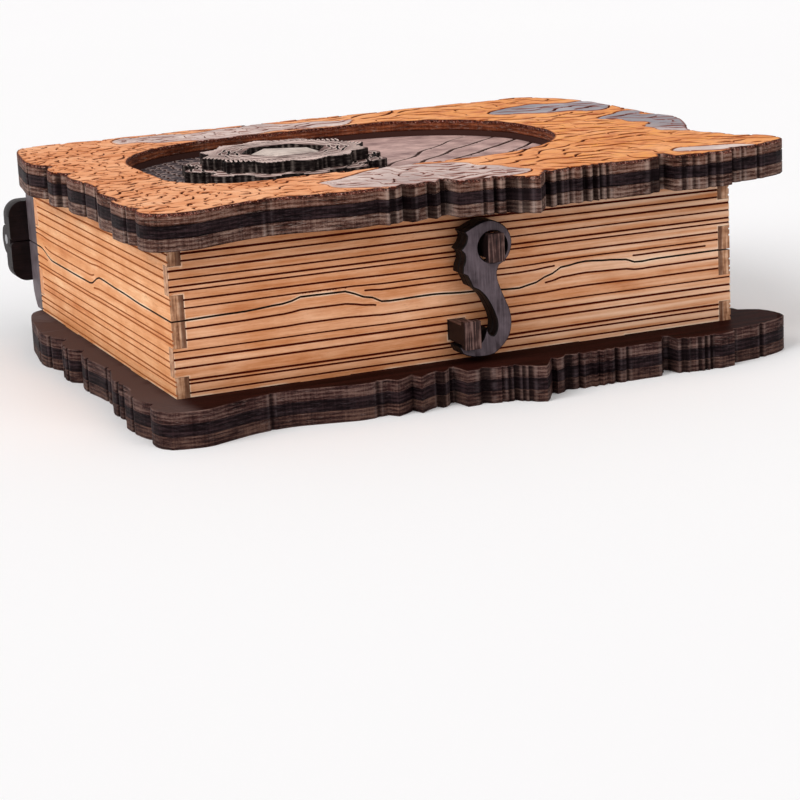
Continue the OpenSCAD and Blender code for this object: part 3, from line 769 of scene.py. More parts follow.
# %% [markdown]
# ## Meshing a face
#
# A Delaunay triangulation joins the points of the lines to the outline, which
# keeps every side of the outline as an edge. It also fills the holes, so the
# triangles whose middle lies in one are dropped. Points too near the rim would
# make slivers there, so they are left out first.

# %% Distances and triangles
RIM_CLEAR = 0.25  # mm that loose points keep from a face's rim
FLOOR_CLEAR = 0.6  # mm that they keep from the edge of a sunk floor
BRINKS = (0.05, -0.05, -0.5)  # mm, where rows of points follow that edge, the first two on its wall


def tree_of(points):
    tree = KDTree(len(points))
    for i, (x, y) in enumerate(points):
        tree.insert((x, y, 0), i)
    tree.balance()
    return tree


def nearest(tree, points):
    """For each point, which one in the tree is nearest and how far away it is."""
    found = [tree.find((x, y, 0)) for x, y in points]
    return np.array([f[1] for f in found]), np.array([f[2] for f in found])


def grid_of(xs, ys):
    return np.stack([places.ravel() for places in np.meshgrid(xs, ys)], 1)


def triangulated(loops, extra):
    """Points and triangles that fill the loops, and the new index of each loop point."""
    points = np.concatenate([*loops, extra])
    sides, start = [], 0
    for loop in loops:
        sides += [(start + i, start + (i + 1) % len(loop)) for i in range(len(loop))]
        start += len(loop)
    made, _, faces, origin, _, _ = delaunay_2d_cdt([Vector(p) for p in points], sides, [], 0, 1e-5)
    made, faces = np.array([tuple(p) for p in made]), np.array(faces)
    index = {old: new for new, olds in enumerate(origin) for old in olds}
    faces = faces[inside(made[faces].mean(1), loops)]
    return made, faces, np.array([index[i] for i in range(start)])


def face_points(rims, loose, floor_edge):
    """The loose points that lie well within a face, and the rows along a sunk floor's edge."""
    points = np.concatenate(loose) if loose else np.zeros((0, 2))
    if len(points):
        points = points[inside(points, rims)]
        points = points[nearest(tree_of(np.concatenate(rims)), points)[1] > RIM_CLEAR]
    if floor_edge is not None:
        points = points[nearest(tree_of(floor_edge), points)[1] > FLOOR_CLEAR]
        points = np.concatenate([points, *(moved_in(floor_edge, away) for away in BRINKS)])
    return points


def band_faces(rings, rows):
    """The faces between rows of points that run round the rings, from the highest row down."""
    ends = np.cumsum([len(ring) for ring in rings])
    follow = np.arange(ends[-1]) + 1
    follow[ends - 1] = ends - [len(ring) for ring in rings]
    faces = []
    for high, under in zip(rows, rows[1:]):
        faces += np.stack([high, under, under[follow], high[follow]], 1).tolist()
    return faces


print("points keep", RIM_CLEAR, "mm from a rim")

# %% [markdown]
# ## Depth, char, painted shade and painted highlight
#
# The distance of a point from the nearest line says three things: how far it
# sinks, how dark it is painted and how pale the shoulder beside the line is
# painted. The dark is the laser's char at the floor and, in a halo past the
# shoulders, partly scorch and partly painted shade. The pale shoulder is a
# painted highlight. Both are kept on the mesh as values at its points, so one
# finish serves every sheet. Shading is smooth except at edges that turn by
# more than `SHARP`, which keeps both the soft swell and the crisp grooves.

# %% Grooves and pieces
SHARP = math.radians(32)
HIGHLIGHT_AT, HIGHLIGHT_REACH = 1.1, 0.3  # half widths from a line's middle where the painted highlight on its shoulder is palest, and to its fading out


def plain(ring):
    """An outline left as it is, with nothing painted dark or pale."""
    return ring, np.zeros(len(ring)), np.zeros(len(ring))


def grooves_at(points, strokes, halo, soot):
    """How deep the points lie in the nearest groove, how dark (char and painted shade) and how pale (painted
    highlight), each 0 to 1.
    """
    if not strokes:
        return np.zeros((3, len(points)))
    samples = np.concatenate([stroke.samples() for stroke in strokes])
    found, gap = nearest(tree_of(samples[:, :2]), points)
    share = gap / samples[found, 2]
    depth = np.clip((1 - share) / (1 - FLOOR_SHARE), 0, 1)
    # Dark in a halo past the line's shoulders: partly scorch, partly painted shade.
    burn = soot * np.clip((1 + halo - share) / halo, 0, 1) if soot else 0 * depth
    # Pale on the shoulders beside the line: a painted highlight.
    worn = np.clip(1 - abs(share - HIGHLIGHT_AT) / max(HIGHLIGHT_REACH, 0.85 * halo), 0, 1)
    return depth, np.maximum(burn, depth), worn


def make_piece(node, rows, faces, on_side, burn, worn, finishes):
    """The mesh as an object that stands for the node, on its body and with its finishes."""
    mesh = bpy.data.meshes.new("carved_" + node)
    mesh.from_pydata((np.concatenate(rows) / 1000).tolist(), [], faces)
    mesh.polygons.foreach_set("material_index", on_side.astype(np.int32))
    for name, values in (("burn", burn), ("worn", worn)):
        values = np.concatenate(values).astype(np.float32)
        mesh.attributes.new(name, "FLOAT", "POINT").data.foreach_set("value", values)
    for finish in finishes:
        mesh.materials.append(finish)
    mesh.shade_smooth()
    mesh.set_sharp_from_angle(angle=SHARP)
    mesh.validate()
    piece = bpy.data.objects.new("carved_" + node, mesh)
    bpy.context.scene.collection.objects.link(piece)
    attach(piece, body_of_node[node])
    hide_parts(node)
    return piece


print("edges are sharp from", round(math.degrees(SHARP)), "degrees")

# %% [markdown]
# ## Carving a sheet
#
# A carved sheet is built from the top down: its face, the rim of its edge, the
# foot of its edge and its plain underside. The edge has a small chamfer on both
# faces, which makes the thin seam that shows between stacked sheets.

# %% Carve a sheet
LONGEST_SIDE = 0.9  # mm
CHAMFER = 0.16  # mm
TEETH_HEIGHT = 0.9  # mm below the face, where the laser's bites end
SHADED_BRINK = 0.1  # mm from a sunk floor's edge, within which points are painted dark as shade at the foot of its wall


def carved(node, facing, finishes, strokes=(), depth=0.4, longest=LONGEST_SIDE, chamfer=CHAMFER, cuts=(),
           shape=plain, halo=0.0, soot=0.0, extra=None, swell=None, teeth=0.0, scorch=None, rub_and_highlight=0.0,
           pocket=0.0):
    """Makes the piece that stands for a sheet, with strokes carved into the face that looks along facing.

    finishes are those of its faces and of its edge. The outline gets no side over longest mm, a point where
    a cut's value changes sign, and what shape does to it. halo is how far a dark band reaches past a line, in
    half widths, and soot how dark it is. That band is partly scorch and partly painted shade. extra are more
    points for the face, and swell gives their rise. The edge's top is bitten up to teeth mm deep. scorch
    darkens the rim by its first number over a band as wide as its second, and rub pales a band of its
    width, partly as wear and partly as a painted highlight. A pocket makes the hole a sunk floor of this
    depth, with painted shade along the floor's edge.
    """
    plane = Plane(facing)
    loops, top, thick = sheet_loops(node, plane)
    low = top - thick
    floor_edge = None
    if pocket:
        loops.sort(key=lambda loop: -np.ptp(loop[:, 0]))
        floor_edge = refined(loops.pop(), longest, ())
    shaped = [shape(refined(loop, longest, cuts)) for loop in loops]
    rings = [ring for ring, _, _ in shaped]
    ring, side_shade, side_highlight = (np.concatenate(column) for column in zip(*shaped))
    rims = [moved_in(r, chamfer) for r in rings]
    band = rub_and_highlight or (scorch[1] if scorch else 0)
    loose = [stroke.rows(halo) for stroke in strokes]
    loose += [extra] if extra is not None else []
    loose += [moved_in(r, chamfer + band) for r in rings] if band else []
    face, triangles, rim = triangulated(rims, face_points(rims, loose, floor_edge))
    base, base_triangles, base_rim = triangulated(rims, np.zeros((0, 2)))

    sunk, burn, worn = grooves_at(np.concatenate([face, ring]), strokes, halo, soot)
    sunk, ring_sunk = np.split(sunk, [len(face)])
    burn, worn = burn[:len(face)], worn[:len(face)]
    if pocket:
        sunk = (sunk + pocket / depth) * inside(face, [floor_edge])
        # Painted shade on the sunk floor's wall and along its foot.
        burn = np.maximum(burn, nearest(tree_of(floor_edge), face)[1] < SHADED_BRINK)
    if scorch:
        burn[rim] = np.maximum(burn[rim], scorch[0])
    # A band along the rim painted pale: partly wear, partly a painted highlight.
    if rub_and_highlight:
        worn = np.isin(np.arange(len(face)), rim).astype(float)
    bitten = np.random.default_rng(len(ring)).random(len(ring)) ** 2 if teeth else np.zeros(len(ring))
    height = top - depth * sunk + (swell(face) if swell else 0)
    ring_top = np.minimum(top - chamfer, top - depth * ring_sunk) - teeth * bitten

    # The edge's rows are dark where lines and bites reach it, and with the painted shade of the flutes.
    edge = [(ring_top, np.maximum.reduce([ring_sunk, side_shade, bitten])), (low + chamfer, side_shade)]
    if teeth:
        edge.insert(1, (top - TEETH_HEIGHT, side_shade))
    rows = [plane.solid(face, height), *(plane.solid(ring, level) for level, _ in edge)]
    rows.append(plane.solid(base, low))
    burn_and_shade_rows = [burn, *(burnt_and_shaded for _, burnt_and_shaded in edge), np.zeros(len(base))]
    wear_and_highlights = [worn, *(side_highlight for _ in edge), np.zeros(len(base))]
    starts = np.cumsum([0] + [len(row) for row in rows])
    around = [rim, *(start + np.arange(len(ring)) for start in starts[1:-2]), starts[-2] + base_rim]
    flat = [*triangles.tolist(), *(base_triangles[:, ::-1] + starts[-2]).tolist()]
    faces = flat + band_faces(rings, around)
    piece = make_piece(node, rows, faces, np.arange(len(faces)) >= len(flat), burn_and_shade_rows, wear_and_highlights, finishes)
    print(node, "carved:", len(strokes), "lines,", len(faces), "faces")
    return piece


# %% [markdown]
# ## Page lines on the walls
#
# The block of pages is suggested by dark lines about two millimetres apart.
# Hand-drawn pages are never quite level, so each line has its own slight tilt
# and wave. A line is a formula of the place along the wall, and the outline
# gets a point wherever a line's shoulder or middle crosses it, so the grooves
# run out over the wall's ends as they do on the real one.


# %% Page lines
PAGE_PITCH = 2.1
PAGE_DEPTH = 0.35
WALL_FOOT = {"base": 1000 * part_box("bottom_cover_inner")[1].z, "lid": 1000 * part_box("top_cover_inner")[0].z}


def parting_line(loop, foot):
    """The height of a wall's wavy edge as a formula of the place along the wall."""
    far = abs(loop[:, 1] - foot)
    wavy = loop[(far > 0.8 * far.max()) & (abs(loop[:, 0]) < 0.94 * loop[:, 0].max())]
    wavy = wavy[wavy[:, 0].argsort()]
    return lambda u: np.interp(u, wavy[:, 0], wavy[:, 1])


FINGER_CLEAR = 0.95  # mm between a page line's middle and a corner finger's level edge


def page_lines(foot, edge, fingers, dice):
    """The page lines as formulas and half widths.

    All are nearly straight, and the last ones lean with the parting line.
    """
    middle = float(edge(0))
    count = round(abs(middle - foot) / PAGE_PITCH)
    lines = []
    for k in range(count):
        share = (k + 0.5 + dice.uniform(-0.12, 0.12)) / count
        height = foot + share * (middle - foot)
        close = min(fingers, key=lambda f: abs(f - height))
        if abs(close - height) < FINGER_CLEAR:
            share = (close + math.copysign(FINGER_CLEAR, height - close) - foot) / (middle - foot)
        tilt, wave = dice.uniform(-0.003, 0.003) * (1 - share), dice.uniform(0.05, 0.2) * (1 - share)
        length, start = dice.uniform(18, 40), dice.uniform(0, 6)

        def line(u, share=share, tilt=tilt, wave=wave, length=length, start=start):
            level = foot + share * (middle - foot) + 0.7 * share ** 8 * (edge(u) - middle)
            return level + tilt * u + wave * np.sin(u / length + start)

        lines.append((line, dice.uniform(0.23, 0.33)))
    return lines


print("page lines lie about", PAGE_PITCH, "mm apart")

# %% [markdown]
# ## Carving the walls
#
# The lines stop short of the parting line, as the real ones do, and leave
# every stretch out that would be only a dash. Near a wall's ends they have
# twice the points, because they cross the corner fingers there.


# %% Carve the walls
CLEAR_OF_PARTING = 1.4  # mm between a page line's middle and the parting line
FINGER_END = 6  # mm at a wall's end within which its outline is that of the corner fingers
FINE_END = 8  # mm at a wall's end where a page line has twice the points
PAGE_STEP = 0.7  # mm between a page line's points


def clear_parts(points, keep, fewest=30):
    """The runs of points where keep is true, each of at least this many points."""
    turns = np.nonzero(np.diff(keep.astype(int)))[0] + 1
    runs = zip(np.split(points, turns), np.split(keep, turns))
    return [run for run, good in runs if good[0] and len(run) >= fewest]


def wall_with_pages(node, facing, seed):
    """Carves a wall, with its lines kept clear of the corner fingers and of the parting line."""
    plane = Plane(facing)
    loops, _, _ = sheet_loops(node, plane)
    outline = max(loops, key=len)
    foot = WALL_FOOT[body_of_node[node]]
    edge = parting_line(outline, foot)
    reach = abs(outline[:, 0]).max() + 1
    ends = outline[abs(outline[:, 0]) > reach - FINGER_END]
    fingers = [v for v in ends[:, 1] if 2 < abs(v - foot) < 0.9 * abs(edge(0) - foot)]
    lines = page_lines(foot, edge, fingers, random.Random(seed))
    inner = reach - FINE_END
    along = np.concatenate([np.arange(-reach, -inner, PAGE_STEP / 2), np.arange(-inner, inner, PAGE_STEP),
                            np.arange(inner, reach + 1, PAGE_STEP / 2)])
    strokes = []
    for line, half in lines:
        level = line(along)
        clear = (edge(along) - level) * np.sign(edge(0) - foot) > CLEAR_OF_PARTING
        runs = clear_parts(np.stack([along, level], 1), clear)
        strokes += [Stroke(run, half, tapered=False) for run in runs]
    cuts = [lambda p, f=line, k=k * half: p[:, 1] - f(p[:, 0]) - k
            for line, half in lines for k in (-1, -FLOOR_SHARE, FLOOR_SHARE, 1)]
    finishes = (PAGE_FACES[0 if facing[1] else 1], PAGE_ENDS)
    # The band along the rim is painted pale, partly as wear and partly as a painted highlight.
    return carved(node, facing, finishes, strokes, PAGE_DEPTH, cuts=cuts, chamfer=0.07, rub_and_highlight=0.4)


for seed, (side, facing) in enumerate((("front", (0, -1, 0)), ("left", (-1, 0, 0)), ("right", (1, 0, 0)))):
    wall_with_pages(f"base_{side}_wall", facing, seed)
    wall_with_pages(f"lid_{side}_wall", facing, seed + 10)

# %% [markdown]
# ## Bark on the carved sheet
#
# The top is covered with dark cracks that run across it in slow waves, short
# at the left and longer and wider apart at the right, like bark or old hide.
# Each crack is traced through a direction field, and it stops where it would
# come too near another. That rule alone spaces them evenly.


# %% Cracks that flow across the sheet
def flow(x, y):
    """The direction of the bark at a place, in radians."""
    return (0.55 * math.sin(x / 13 + 1.4 * math.sin(y / 19)) + 0.45 * math.sin(y / 9 + 1.1 * math.sin(x / 15))
            - 0.3 + 1.3 / (1 + math.exp((x + 50) / 6)))


def spacing(x):
    """How far apart the cracks lie at a place along the sheet, in mm."""
    return 3.2 + 2.6 / (1 + math.exp(-(x - 10) / 14))


print("cracks lie", round(spacing(-80), 1), "to", round(spacing(80), 1), "mm apart")

# %% [markdown]
# ## Tracing a crack
#
# A crack is a path of short steps. Each step follows the flow with a wobble of
# its own, stronger at the left. To know its neighbours without looking at all
# of them, the tracer files every point of a kept crack in a coarse grid.


# %% The tracer
CRACK_HALF = (0.65, 1.0)  # mm, half of a crack's width
CRACK_NIB = 0.78  # how much narrower a crack is where it runs upright
SHORT_REACH, LONG_REACH = (0.6, 1.9), (1.0, 3.6)  # a crack's reach each way, in spacings, left and right
BRANCHED = 0.6  # the share of the cracks that have a branch


class Bark:
    """Traces cracks on a sheet and remembers where they are."""

    CELL, STEP = 1.5, 0.55

    def __init__(self, loops, margin, dice):
        self.loops, self.dice, self.cells, self.strokes = loops, dice, {}, []
        edge = np.concatenate([refined(loop, 0.8, ()) for loop in loops])
        self.edge, self.margin = tree_of(edge), margin

    def cell(self, x, y):
        return int(x // self.CELL), int(y // self.CELL)

    def crowded(self, x, y, room, own):
        """Whether the sheet's edge or another crack than own lies too near."""
        reach = math.ceil(room / self.CELL)
        i, j = self.cell(x, y)
        for a in range(i - reach, i + reach + 1):
            for b in range(j - reach, j + reach + 1):
                for px, py, stroke in self.cells.get((a, b), ()):
                    if stroke != own and (px - x) ** 2 + (py - y) ** 2 < room * room:
                        return True
        return self.edge.find((x, y, 0))[2] < self.margin

    def trace(self, x, y, turn, length, own):
        """One crack from a place, wobbling about the flow."""
        wild = 1 + 0.7 / (1 + math.exp((x + 20) / 12))
        beat, start = self.dice.uniform(1.6, 3.4) / wild, self.dice.uniform(0, 6)
        swing, path, gone = self.dice.uniform(0.3, 0.75) * wild, [(x, y)], 0.0
        while gone < length:
            way = flow(x, y) + turn + swing * math.sin(gone / beat + start)
            x, y, gone = x + self.STEP * math.cos(way), y + self.STEP * math.sin(way), gone + self.STEP
            if self.crowded(x, y, 0.5 * spacing(x), own):
                break
            path.append((x, y))
        return path

    def keep(self, path, half, shortest=1.6):
        """Keeps a crack if it is no shorter than this many mm."""
        if (len(path) - 1) * self.STEP < shortest:
            return False
        for x, y in path:
            self.cells.setdefault(self.cell(x, y), []).append((x, y, len(self.strokes)))
        self.strokes.append(Stroke(path, half, nib=CRACK_NIB))
        return True

    def fill(self, seeds):
        """Grows a crack from each place that still has room, and a branch from the middle of most."""
        for x, y in seeds:
            if self.crowded(x, y, 0.8 * spacing(x), None):
                continue
            reach = spacing(x) * self.dice.uniform(*(SHORT_REACH if x < 0 else LONG_REACH))
            back = self.trace(x, y, math.pi, reach, None)
            path = back[::-1] + self.trace(x, y, 0.0, reach, None)[1:]
            if self.keep(path, self.dice.uniform(*CRACK_HALF)) and self.dice.random() < BRANCHED:
                x, y = path[len(path) // 2]
                turn = self.dice.choice((-1, 1)) * self.dice.uniform(0.7, 1.3)
                branch = self.trace(x, y, turn, 0.9 * spacing(x), len(self.strokes) - 1)
                self.keep(branch, CRACK_HALF[0], shortest=1.0)


print("cracks are", [2 * half for half in CRACK_HALF], "mm wide at the most")

# %% [markdown]
# ## Growing the cracks
#
# The borders of the grey fields are engraved first, so that no crack crosses
# them. A border is found along rays from its field's middle, where the formula
# that colours the field falls below 0. The cracks then grow from the places of
# a loose grid, taken in a shuffled order so that no row of the grid shows.

# %% Field borders and cracks
SEED_STEP = 1.1  # mm between the places where a crack may start


def field_borders(step=0.7):
    """The borders of the grey fields as closed paths, found along rays from each field's middle."""
    borders = []
    for middle_x, middle_y, reach_x, reach_y in ASH_FIELDS:
        angles = np.linspace(0, 2 * math.pi, int(6 * (reach_x + reach_y) / 2 / step))
        radii = np.linspace(0.1, 1.8, 120)
        x = middle_x + np.outer(radii, reach_x * np.cos(angles))
        y = middle_y + np.outer(radii, reach_y * np.sin(angles))
        first = (ash_level(x, y) < 0).argmax(0)
        pick = np.arange(len(angles))
        borders.append(np.stack([x[first, pick], y[first, pick]], 1))
    return borders


carved_loops, _, _ = sheet_loops("top_cover_carved", Plane((0, 0, 1)))
bark = Bark(carved_loops, margin=0.35, dice=random.Random(5))
for border in field_borders():
    bark.keep([tuple(p) for p in border], CRACK_HALF[0])
low, high = np.min([c.min(0) for c in carved_loops], 0), np.max([c.max(0) for c in carved_loops], 0)
columns, lines = np.arange(low[0], high[0], SEED_STEP), np.arange(low[1], high[1], SEED_STEP)
grid = [(x, y) for x in columns for y in lines]
jitter = [(x + bark.dice.uniform(-0.5, 0.5), y + bark.dice.uniform(-0.5, 0.5)) for x, y in grid]
allowed = inside(np.array(jitter), carved_loops)
seeds = [place for place, good in zip(jitter, allowed) if good]
bark.dice.shuffle(seeds)
bark.fill(seeds)
print(len(bark.strokes), "cracks from", len(seeds), "seeds")

# %% [markdown]
# ## Flutes in the covers' edges
#
# The covers' ragged outline has clusters of narrow upright flutes, cut through
# all three sheets. Each is given by its place along one side of the cover. The
# outline's points near it are pressed straight in from that side by a bell
# curve, because pressing them at right angles to a jagged outline would fold
# it over. Each flute is painted dark as painted shade, deeper ones darker, and
# the ridges beside it are painted pale as a painted highlight.

# %% Flutes
# For each side: place along the side, half width and depth, in mm
TOP_FLUTES = {
    "front": [(-56, .6, .4), (-24, .9, 1.1), (-19.4, .9, 1.3), (-12.5, .7, 1.1), (-8.5, .8, 1.4),
              (.5, .5, .6), (3.6, .6, .8), (7.5, 1.1, 1.2), (10, .8, .9), (14.5, .5, .4), (16.5, .5, .6),
              (19, .5, .5), (22.1, .7, 1.0), (26, .5, .5), (30.3, .7, .9), (33.1, .6, .7), (34.9, .5, .8),
              (36.8, .6, .7), (51, 1.5, 1.5), (54, 1.0, 1.1), (59.1, .6, .7), (62.1, .5, .5),
              (66.6, .6, .8), (69.2, .6, .7), (75.3, .5, .6), (79, .5, .4), (84.3, .5, .6)],
    "left": [(34, .5, .5), (24, .6, .7), (20, .5, .5), (7.5, .8, .9), (4, .5, .5), (-14, .7, .8),
             (-24, .7, .8), (-32, .6, .7), (-35, .5, .5), (-50, .7, .8), (-61, .6, .6)],
    "right": [(-52, .6, .7), (-47, .6, .6), (-30, .7, .8), (-12, .6, .6), (-9, .5, .6), (18, .7, .8),
              (21, .5, .6), (44, .7, .8)],
    "back": [(-58, .6, .7), (-54, .5, .6), (-22, .7, .8), (8, .6, .7), (12, .5, .6), (15, .5, .7),
             (52, .7, .8)],
}
BOTTOM_FLUTES = {
    "front": [(-58, .6, .5), (-30, .6, .5), (-12.3, .8, 1.1), (-8.6, .6, .8), (-1.3, 1.2, 1.4),
              (5.3, .5, .7), (7.1, .5, .8), (8.6, .4, .7), (9.9, .5, .8), (23.3, 1.2, 1.4), (27, .5, .5),
              (38, .6, .6), (41, .5, .6), (53.4, 1.2, 1.4), (58.4, .8, .9), (62.8, .5, .7), (64.6, .5, .8),
              (66.2, .5, .7), (75, .5, .5), (84.6, .6, .8)],
    "left": [(38, .6, .6), (29, .6, .7), (14, .7, .8), (10, .5, .6), (-6, .7, .8), (-20, .7, .9),
             (-24, .5, .6), (-38, .7, .8), (-42, .5, .5), (-56, .7, .7)],
    "right": TOP_FLUTES["right"],
    "back": TOP_FLUTES["back"],
}
# For each side: the way in from it, and how far from the middle its outline is looked for, in mm
SIDES = {"front": ((0, 1), 90), "left": ((1, 0), 95), "right": ((-1, 0), 100), "back": ((0, -1), 95)}
SAME_SIDE = 8  # mm, the most that one side of the outline steps in or out
WHOLE_COVER = 150  # mm, and no hole is as wide
RIDGE_AT, RIDGE_HALF = 1.8, 0.5  # how far from a flute's middle the painted highlight on a ridge runs, in the flute's half widths
BLACK_DEPTH = 0.8  # mm, the flute depth at which its painted shade is as dark as it gets


def flutes_pressed(flutes):
    """A shape for outlines that presses these flutes into them.

    It leaves the outlines of holes alone, and also says how dark each point is painted as shade in a flute and
    how pale as a highlight beside it.
    """
    wanted = []
    for side, row in flutes.items():
        inward, outside = np.array(SIDES[side][0]), SIDES[side][1]
        wanted += [(t * abs(inward[::-1]) - outside * inward, inward, half, depth) for t, half, depth in row]

    def shape(ring):
        press, worn, way = np.zeros(len(ring)), np.zeros(len(ring)), np.zeros((len(ring), 2))
        if np.ptp(ring[:, 0]) > WHOLE_COVER:
            for place, inward, half, depth in wanted:
                aside = abs((ring - place) @ inward[::-1])
                middle = ring[(np.hypot(*(ring - place).T) + 3 * aside).argmin()]
                away = abs((ring - middle) @ inward[::-1]) / half
                near = abs((ring - middle) @ inward) < SAME_SIDE
                dent = depth * np.exp(-away ** 2) * near
                way[dent > press] = inward
                press = np.maximum(press, dent)
                worn = np.maximum(worn, np.exp(-((away - RIDGE_AT) / RIDGE_HALF) ** 2) * near)
        # Painted shade in each flute, darker where it is deeper.
        burnt_and_shaded = np.clip(press / BLACK_DEPTH, 0, 1)
        return ring + way * press[:, None], burnt_and_shaded, worn * np.clip(1 - press, 0, 1)

    return shape


TOP_SHAPE, BOTTOM_SHAPE = flutes_pressed(TOP_FLUTES), flutes_pressed(BOTTOM_FLUTES)
EDGE_STEP = 0.4  # mm between an outline's points, fine enough for the narrowest flute
print([sum(len(row) for row in flutes.values()) for flutes in (TOP_FLUTES, BOTTOM_FLUTES)], "flutes")

# %% [markdown]
# ## The top sheet
#
# The top sheet gets the cracks, a slow swell like that of old hide, and small
# bites along the rim where the laser chipped the stain. Loose points between
# the cracks keep its triangles short, or the swell would show as facets.


# %% Carve the top sheet
def old_hide(points):
    """The slow swell of the carved surface, always downwards."""
    x, y = points.T
    return -0.09 * (1 + np.sin(x / 2.9 + 1.5 * np.sin(y / 4.3)) * np.sin(y / 2.3 + 1.2 * np.sin(x / 5.1)))


# Each crack's halo is darkened, partly as scorch and partly as painted shade.
carved("top_cover_carved", (0, 0, 1), (CARVED_FACE, CARVED_EDGE), bark.strokes, depth=0.55, longest=EDGE_STEP,
       chamfer=0.25, shape=TOP_SHAPE, halo=0.6, soot=0.34, swell=old_hide, teeth=0.6, scorch=(0.62, 0.7),
       extra=np.array(seeds[::4]))

# %% [markdown]
# ## The window's floor
#
# The window's floor is sunk into the middle sheet, which is stained grey. Long
# dark waves cross its right side, and rows of small arcs like roof tiles cover
# the left.


# %% Waves and tiles on the window's floor
window = min(carved_loops, key=lambda loop: np.ptp(loop[:, 0]))
(left, front), (right, back) = window.min(0), window.max(0)
FLOOR_STEP = 2  # mm


def floor_waves(count=6):
    waves = []
    for k in range(count):
        t = np.linspace(0, 1, 90)
        x = -40 + 12.5 * k + 84 * t + 0.7 * np.sin(31 * t + k)
        y = front - 6 + 77 * t + 1.3 * np.sin(9 * t + 2 * k) + 0.6 * np.sin(37 * t + 2 * k)
        waves.append(Stroke(np.stack([x, y], 1), 0.7 + 0.12 * (k % 3)))
    return waves


def floor_tiles(pitch=4.6):
    dice = random.Random(8)
    tiles = []
    for row, x in enumerate(np.arange(left - 1, left + 34, 0.8 * pitch)):
        for y in np.arange(front + 0.5 * pitch * (row % 2), back + pitch, pitch):
            turn = np.linspace(-1.1, 1.1, 9) + dice.uniform(-0.5, 0.5)
            size = pitch * dice.uniform(0.5, 0.66)
            place_x, place_y = x + dice.uniform(-0.6, 0.6), y + dice.uniform(-0.6, 0.6)
            arc = np.stack([place_x - size * np.cos(turn), place_y + size * np.sin(turn)], 1)
            tiles.append(Stroke(arc, 0.5))
    return tiles


pocket_depth = 1000 * (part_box("top_cover_middle")[1].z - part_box("medallion_disc")[0].z)
floor_grid = grid_of(np.arange(left, right, FLOOR_STEP), np.arange(front, back, FLOOR_STEP))
# The sunk floor's edge gets painted shade, and the lines' shoulders a painted highlight.
carved("top_cover_middle", (0, 0, 1), (WINDOW_FLOOR, MIDDLE_EDGE), floor_waves() + floor_tiles(), depth=0.5,
       longest=EDGE_STEP, shape=TOP_SHAPE, halo=0.8, pocket=pocket_depth, extra=floor_grid)

# %% [markdown]
# ## The medallion
#
# The medallion is a stack of its own: a scalloped disc, a ring with twelve
# points and a faceted boss like the top of a die. Uneven hollows are pressed
# into the edges of the lower two, with painted shade in each hollow and a
# painted highlight between them, and wavy rings are engraved round their faces,
# with a painted highlight on their shoulders. A fringe of short rays sweeps
# outwards over the ring's points. The boss stays as the frame has it.


# %% The medallion's carving
disc_low, disc_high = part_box("medallion_disc")
MEDALLION = np.array(((disc_low + disc_high) / 2).xy) * 1000
DISC_R = (disc_high.x - disc_low.x) * 500
FLUTE_PITCH, FLUTE_DEPTH = 2.4, 0.35


def fluted(ring):
    """A shape for outlines: uneven hollows all round, with painted shade in them and a painted highlight
    between.
    """
    sides = np.linalg.norm(np.roll(ring, -1, 0) - ring, axis=1)
    at = np.cumsum(sides) - sides
    count = max(1, round(sides.sum() / FLUTE_PITCH))
    round_once = 2 * math.pi * at / sides.sum()
    uneven = 0.5 + 0.5 * np.sin(round(count / 4) * round_once + np.sin(3 * round_once))
    hollow = 0.5 - 0.5 * np.cos(count * round_once + 1.5 * np.sin(7 * round_once))
    inward = moved_in(ring, 1.0) - ring
    return (ring + inward * (FLUTE_DEPTH * hollow * (0.3 + 0.7 * uneven))[:, None], hollow ** 2,
            uneven * (1 - hollow) ** 5)


def swept_rays(count, r_in, r_out, sweep, half, points=26):
    """Rays that start round a circle and sweep to one side, by sweep radians, as they run out."""
    rays = []
    for k in range(count):
        r = np.linspace(r_in, r_out, points)
        a = 2 * math.pi * k / count + sweep * ((r - r_in) / (r_out - r_in)) ** 1.5
        rays.append(Stroke(MEDALLION + np.stack([r * np.cos(a), r * np.sin(a)], 1), half))
    return rays


def wavy_ring(radius, half, wave, waves, points=220):
    """A ring round the medallion's middle whose radius swings by wave mm, this many times."""
    a = np.linspace(0, 2 * math.pi, points)
    r = radius + wave * np.sin(waves * a + radius)
    return Stroke(MEDALLION + r[:, None] * np.stack([np.cos(a), np.sin(a)], 1), half, tapered=False)


disc_lines = [wavy_ring(share * DISC_R, 0.45, 0.5, 24) for share in (0.74, 0.83, 0.92)]
carved("medallion_disc", (0, 0, 1), (MEDALLION_FACE, LACQUER_EDGE), disc_lines, depth=0.6, longest=0.3,
       shape=fluted, halo=0.6)
star_lines = [wavy_ring(share * DISC_R, 0.45, 0.4, 12) for share in (0.46, 0.53, 0.6)]
star_lines += swept_rays(72, 0.65 * DISC_R, 0.82 * DISC_R, 0.25, 0.42)
carved("medallion_star", (0, 0, 1), (MEDALLION_FACE, LACQUER_EDGE), star_lines, depth=0.6, longest=0.3,
       shape=fluted, halo=0.6)

# %% [markdown]
# ## The plain sheets and the hook
#
# The other cover sheets and the hook's two layers are plain, but they go
# through the same function for their chamfers and for smooth shading round
# their curves.

# %% Plain sheets
for node, edge in (("top_cover_inner", TOP_EDGE), ("bottom_cover_inner", INNER_EDGE),
                   ("bottom_cover_middle", MIDDLE_EDGE), ("bottom_cover_outer", OUTER_EDGE)):
    shape = TOP_SHAPE if body_of_node[node] == "lid" else BOTTOM_SHAPE
    carved(node, (0, 0, 1), (BOTTOM_FACE, edge), longest=EDGE_STEP, shape=shape)
carved("hook_front_layer", (0, -1, 0), (HOOK_FACE, HOOK_EDGE), chamfer=0.22)
carved("hook_back_layer", (0, -1, 0), (HOOK_FACE, HOOK_EDGE))

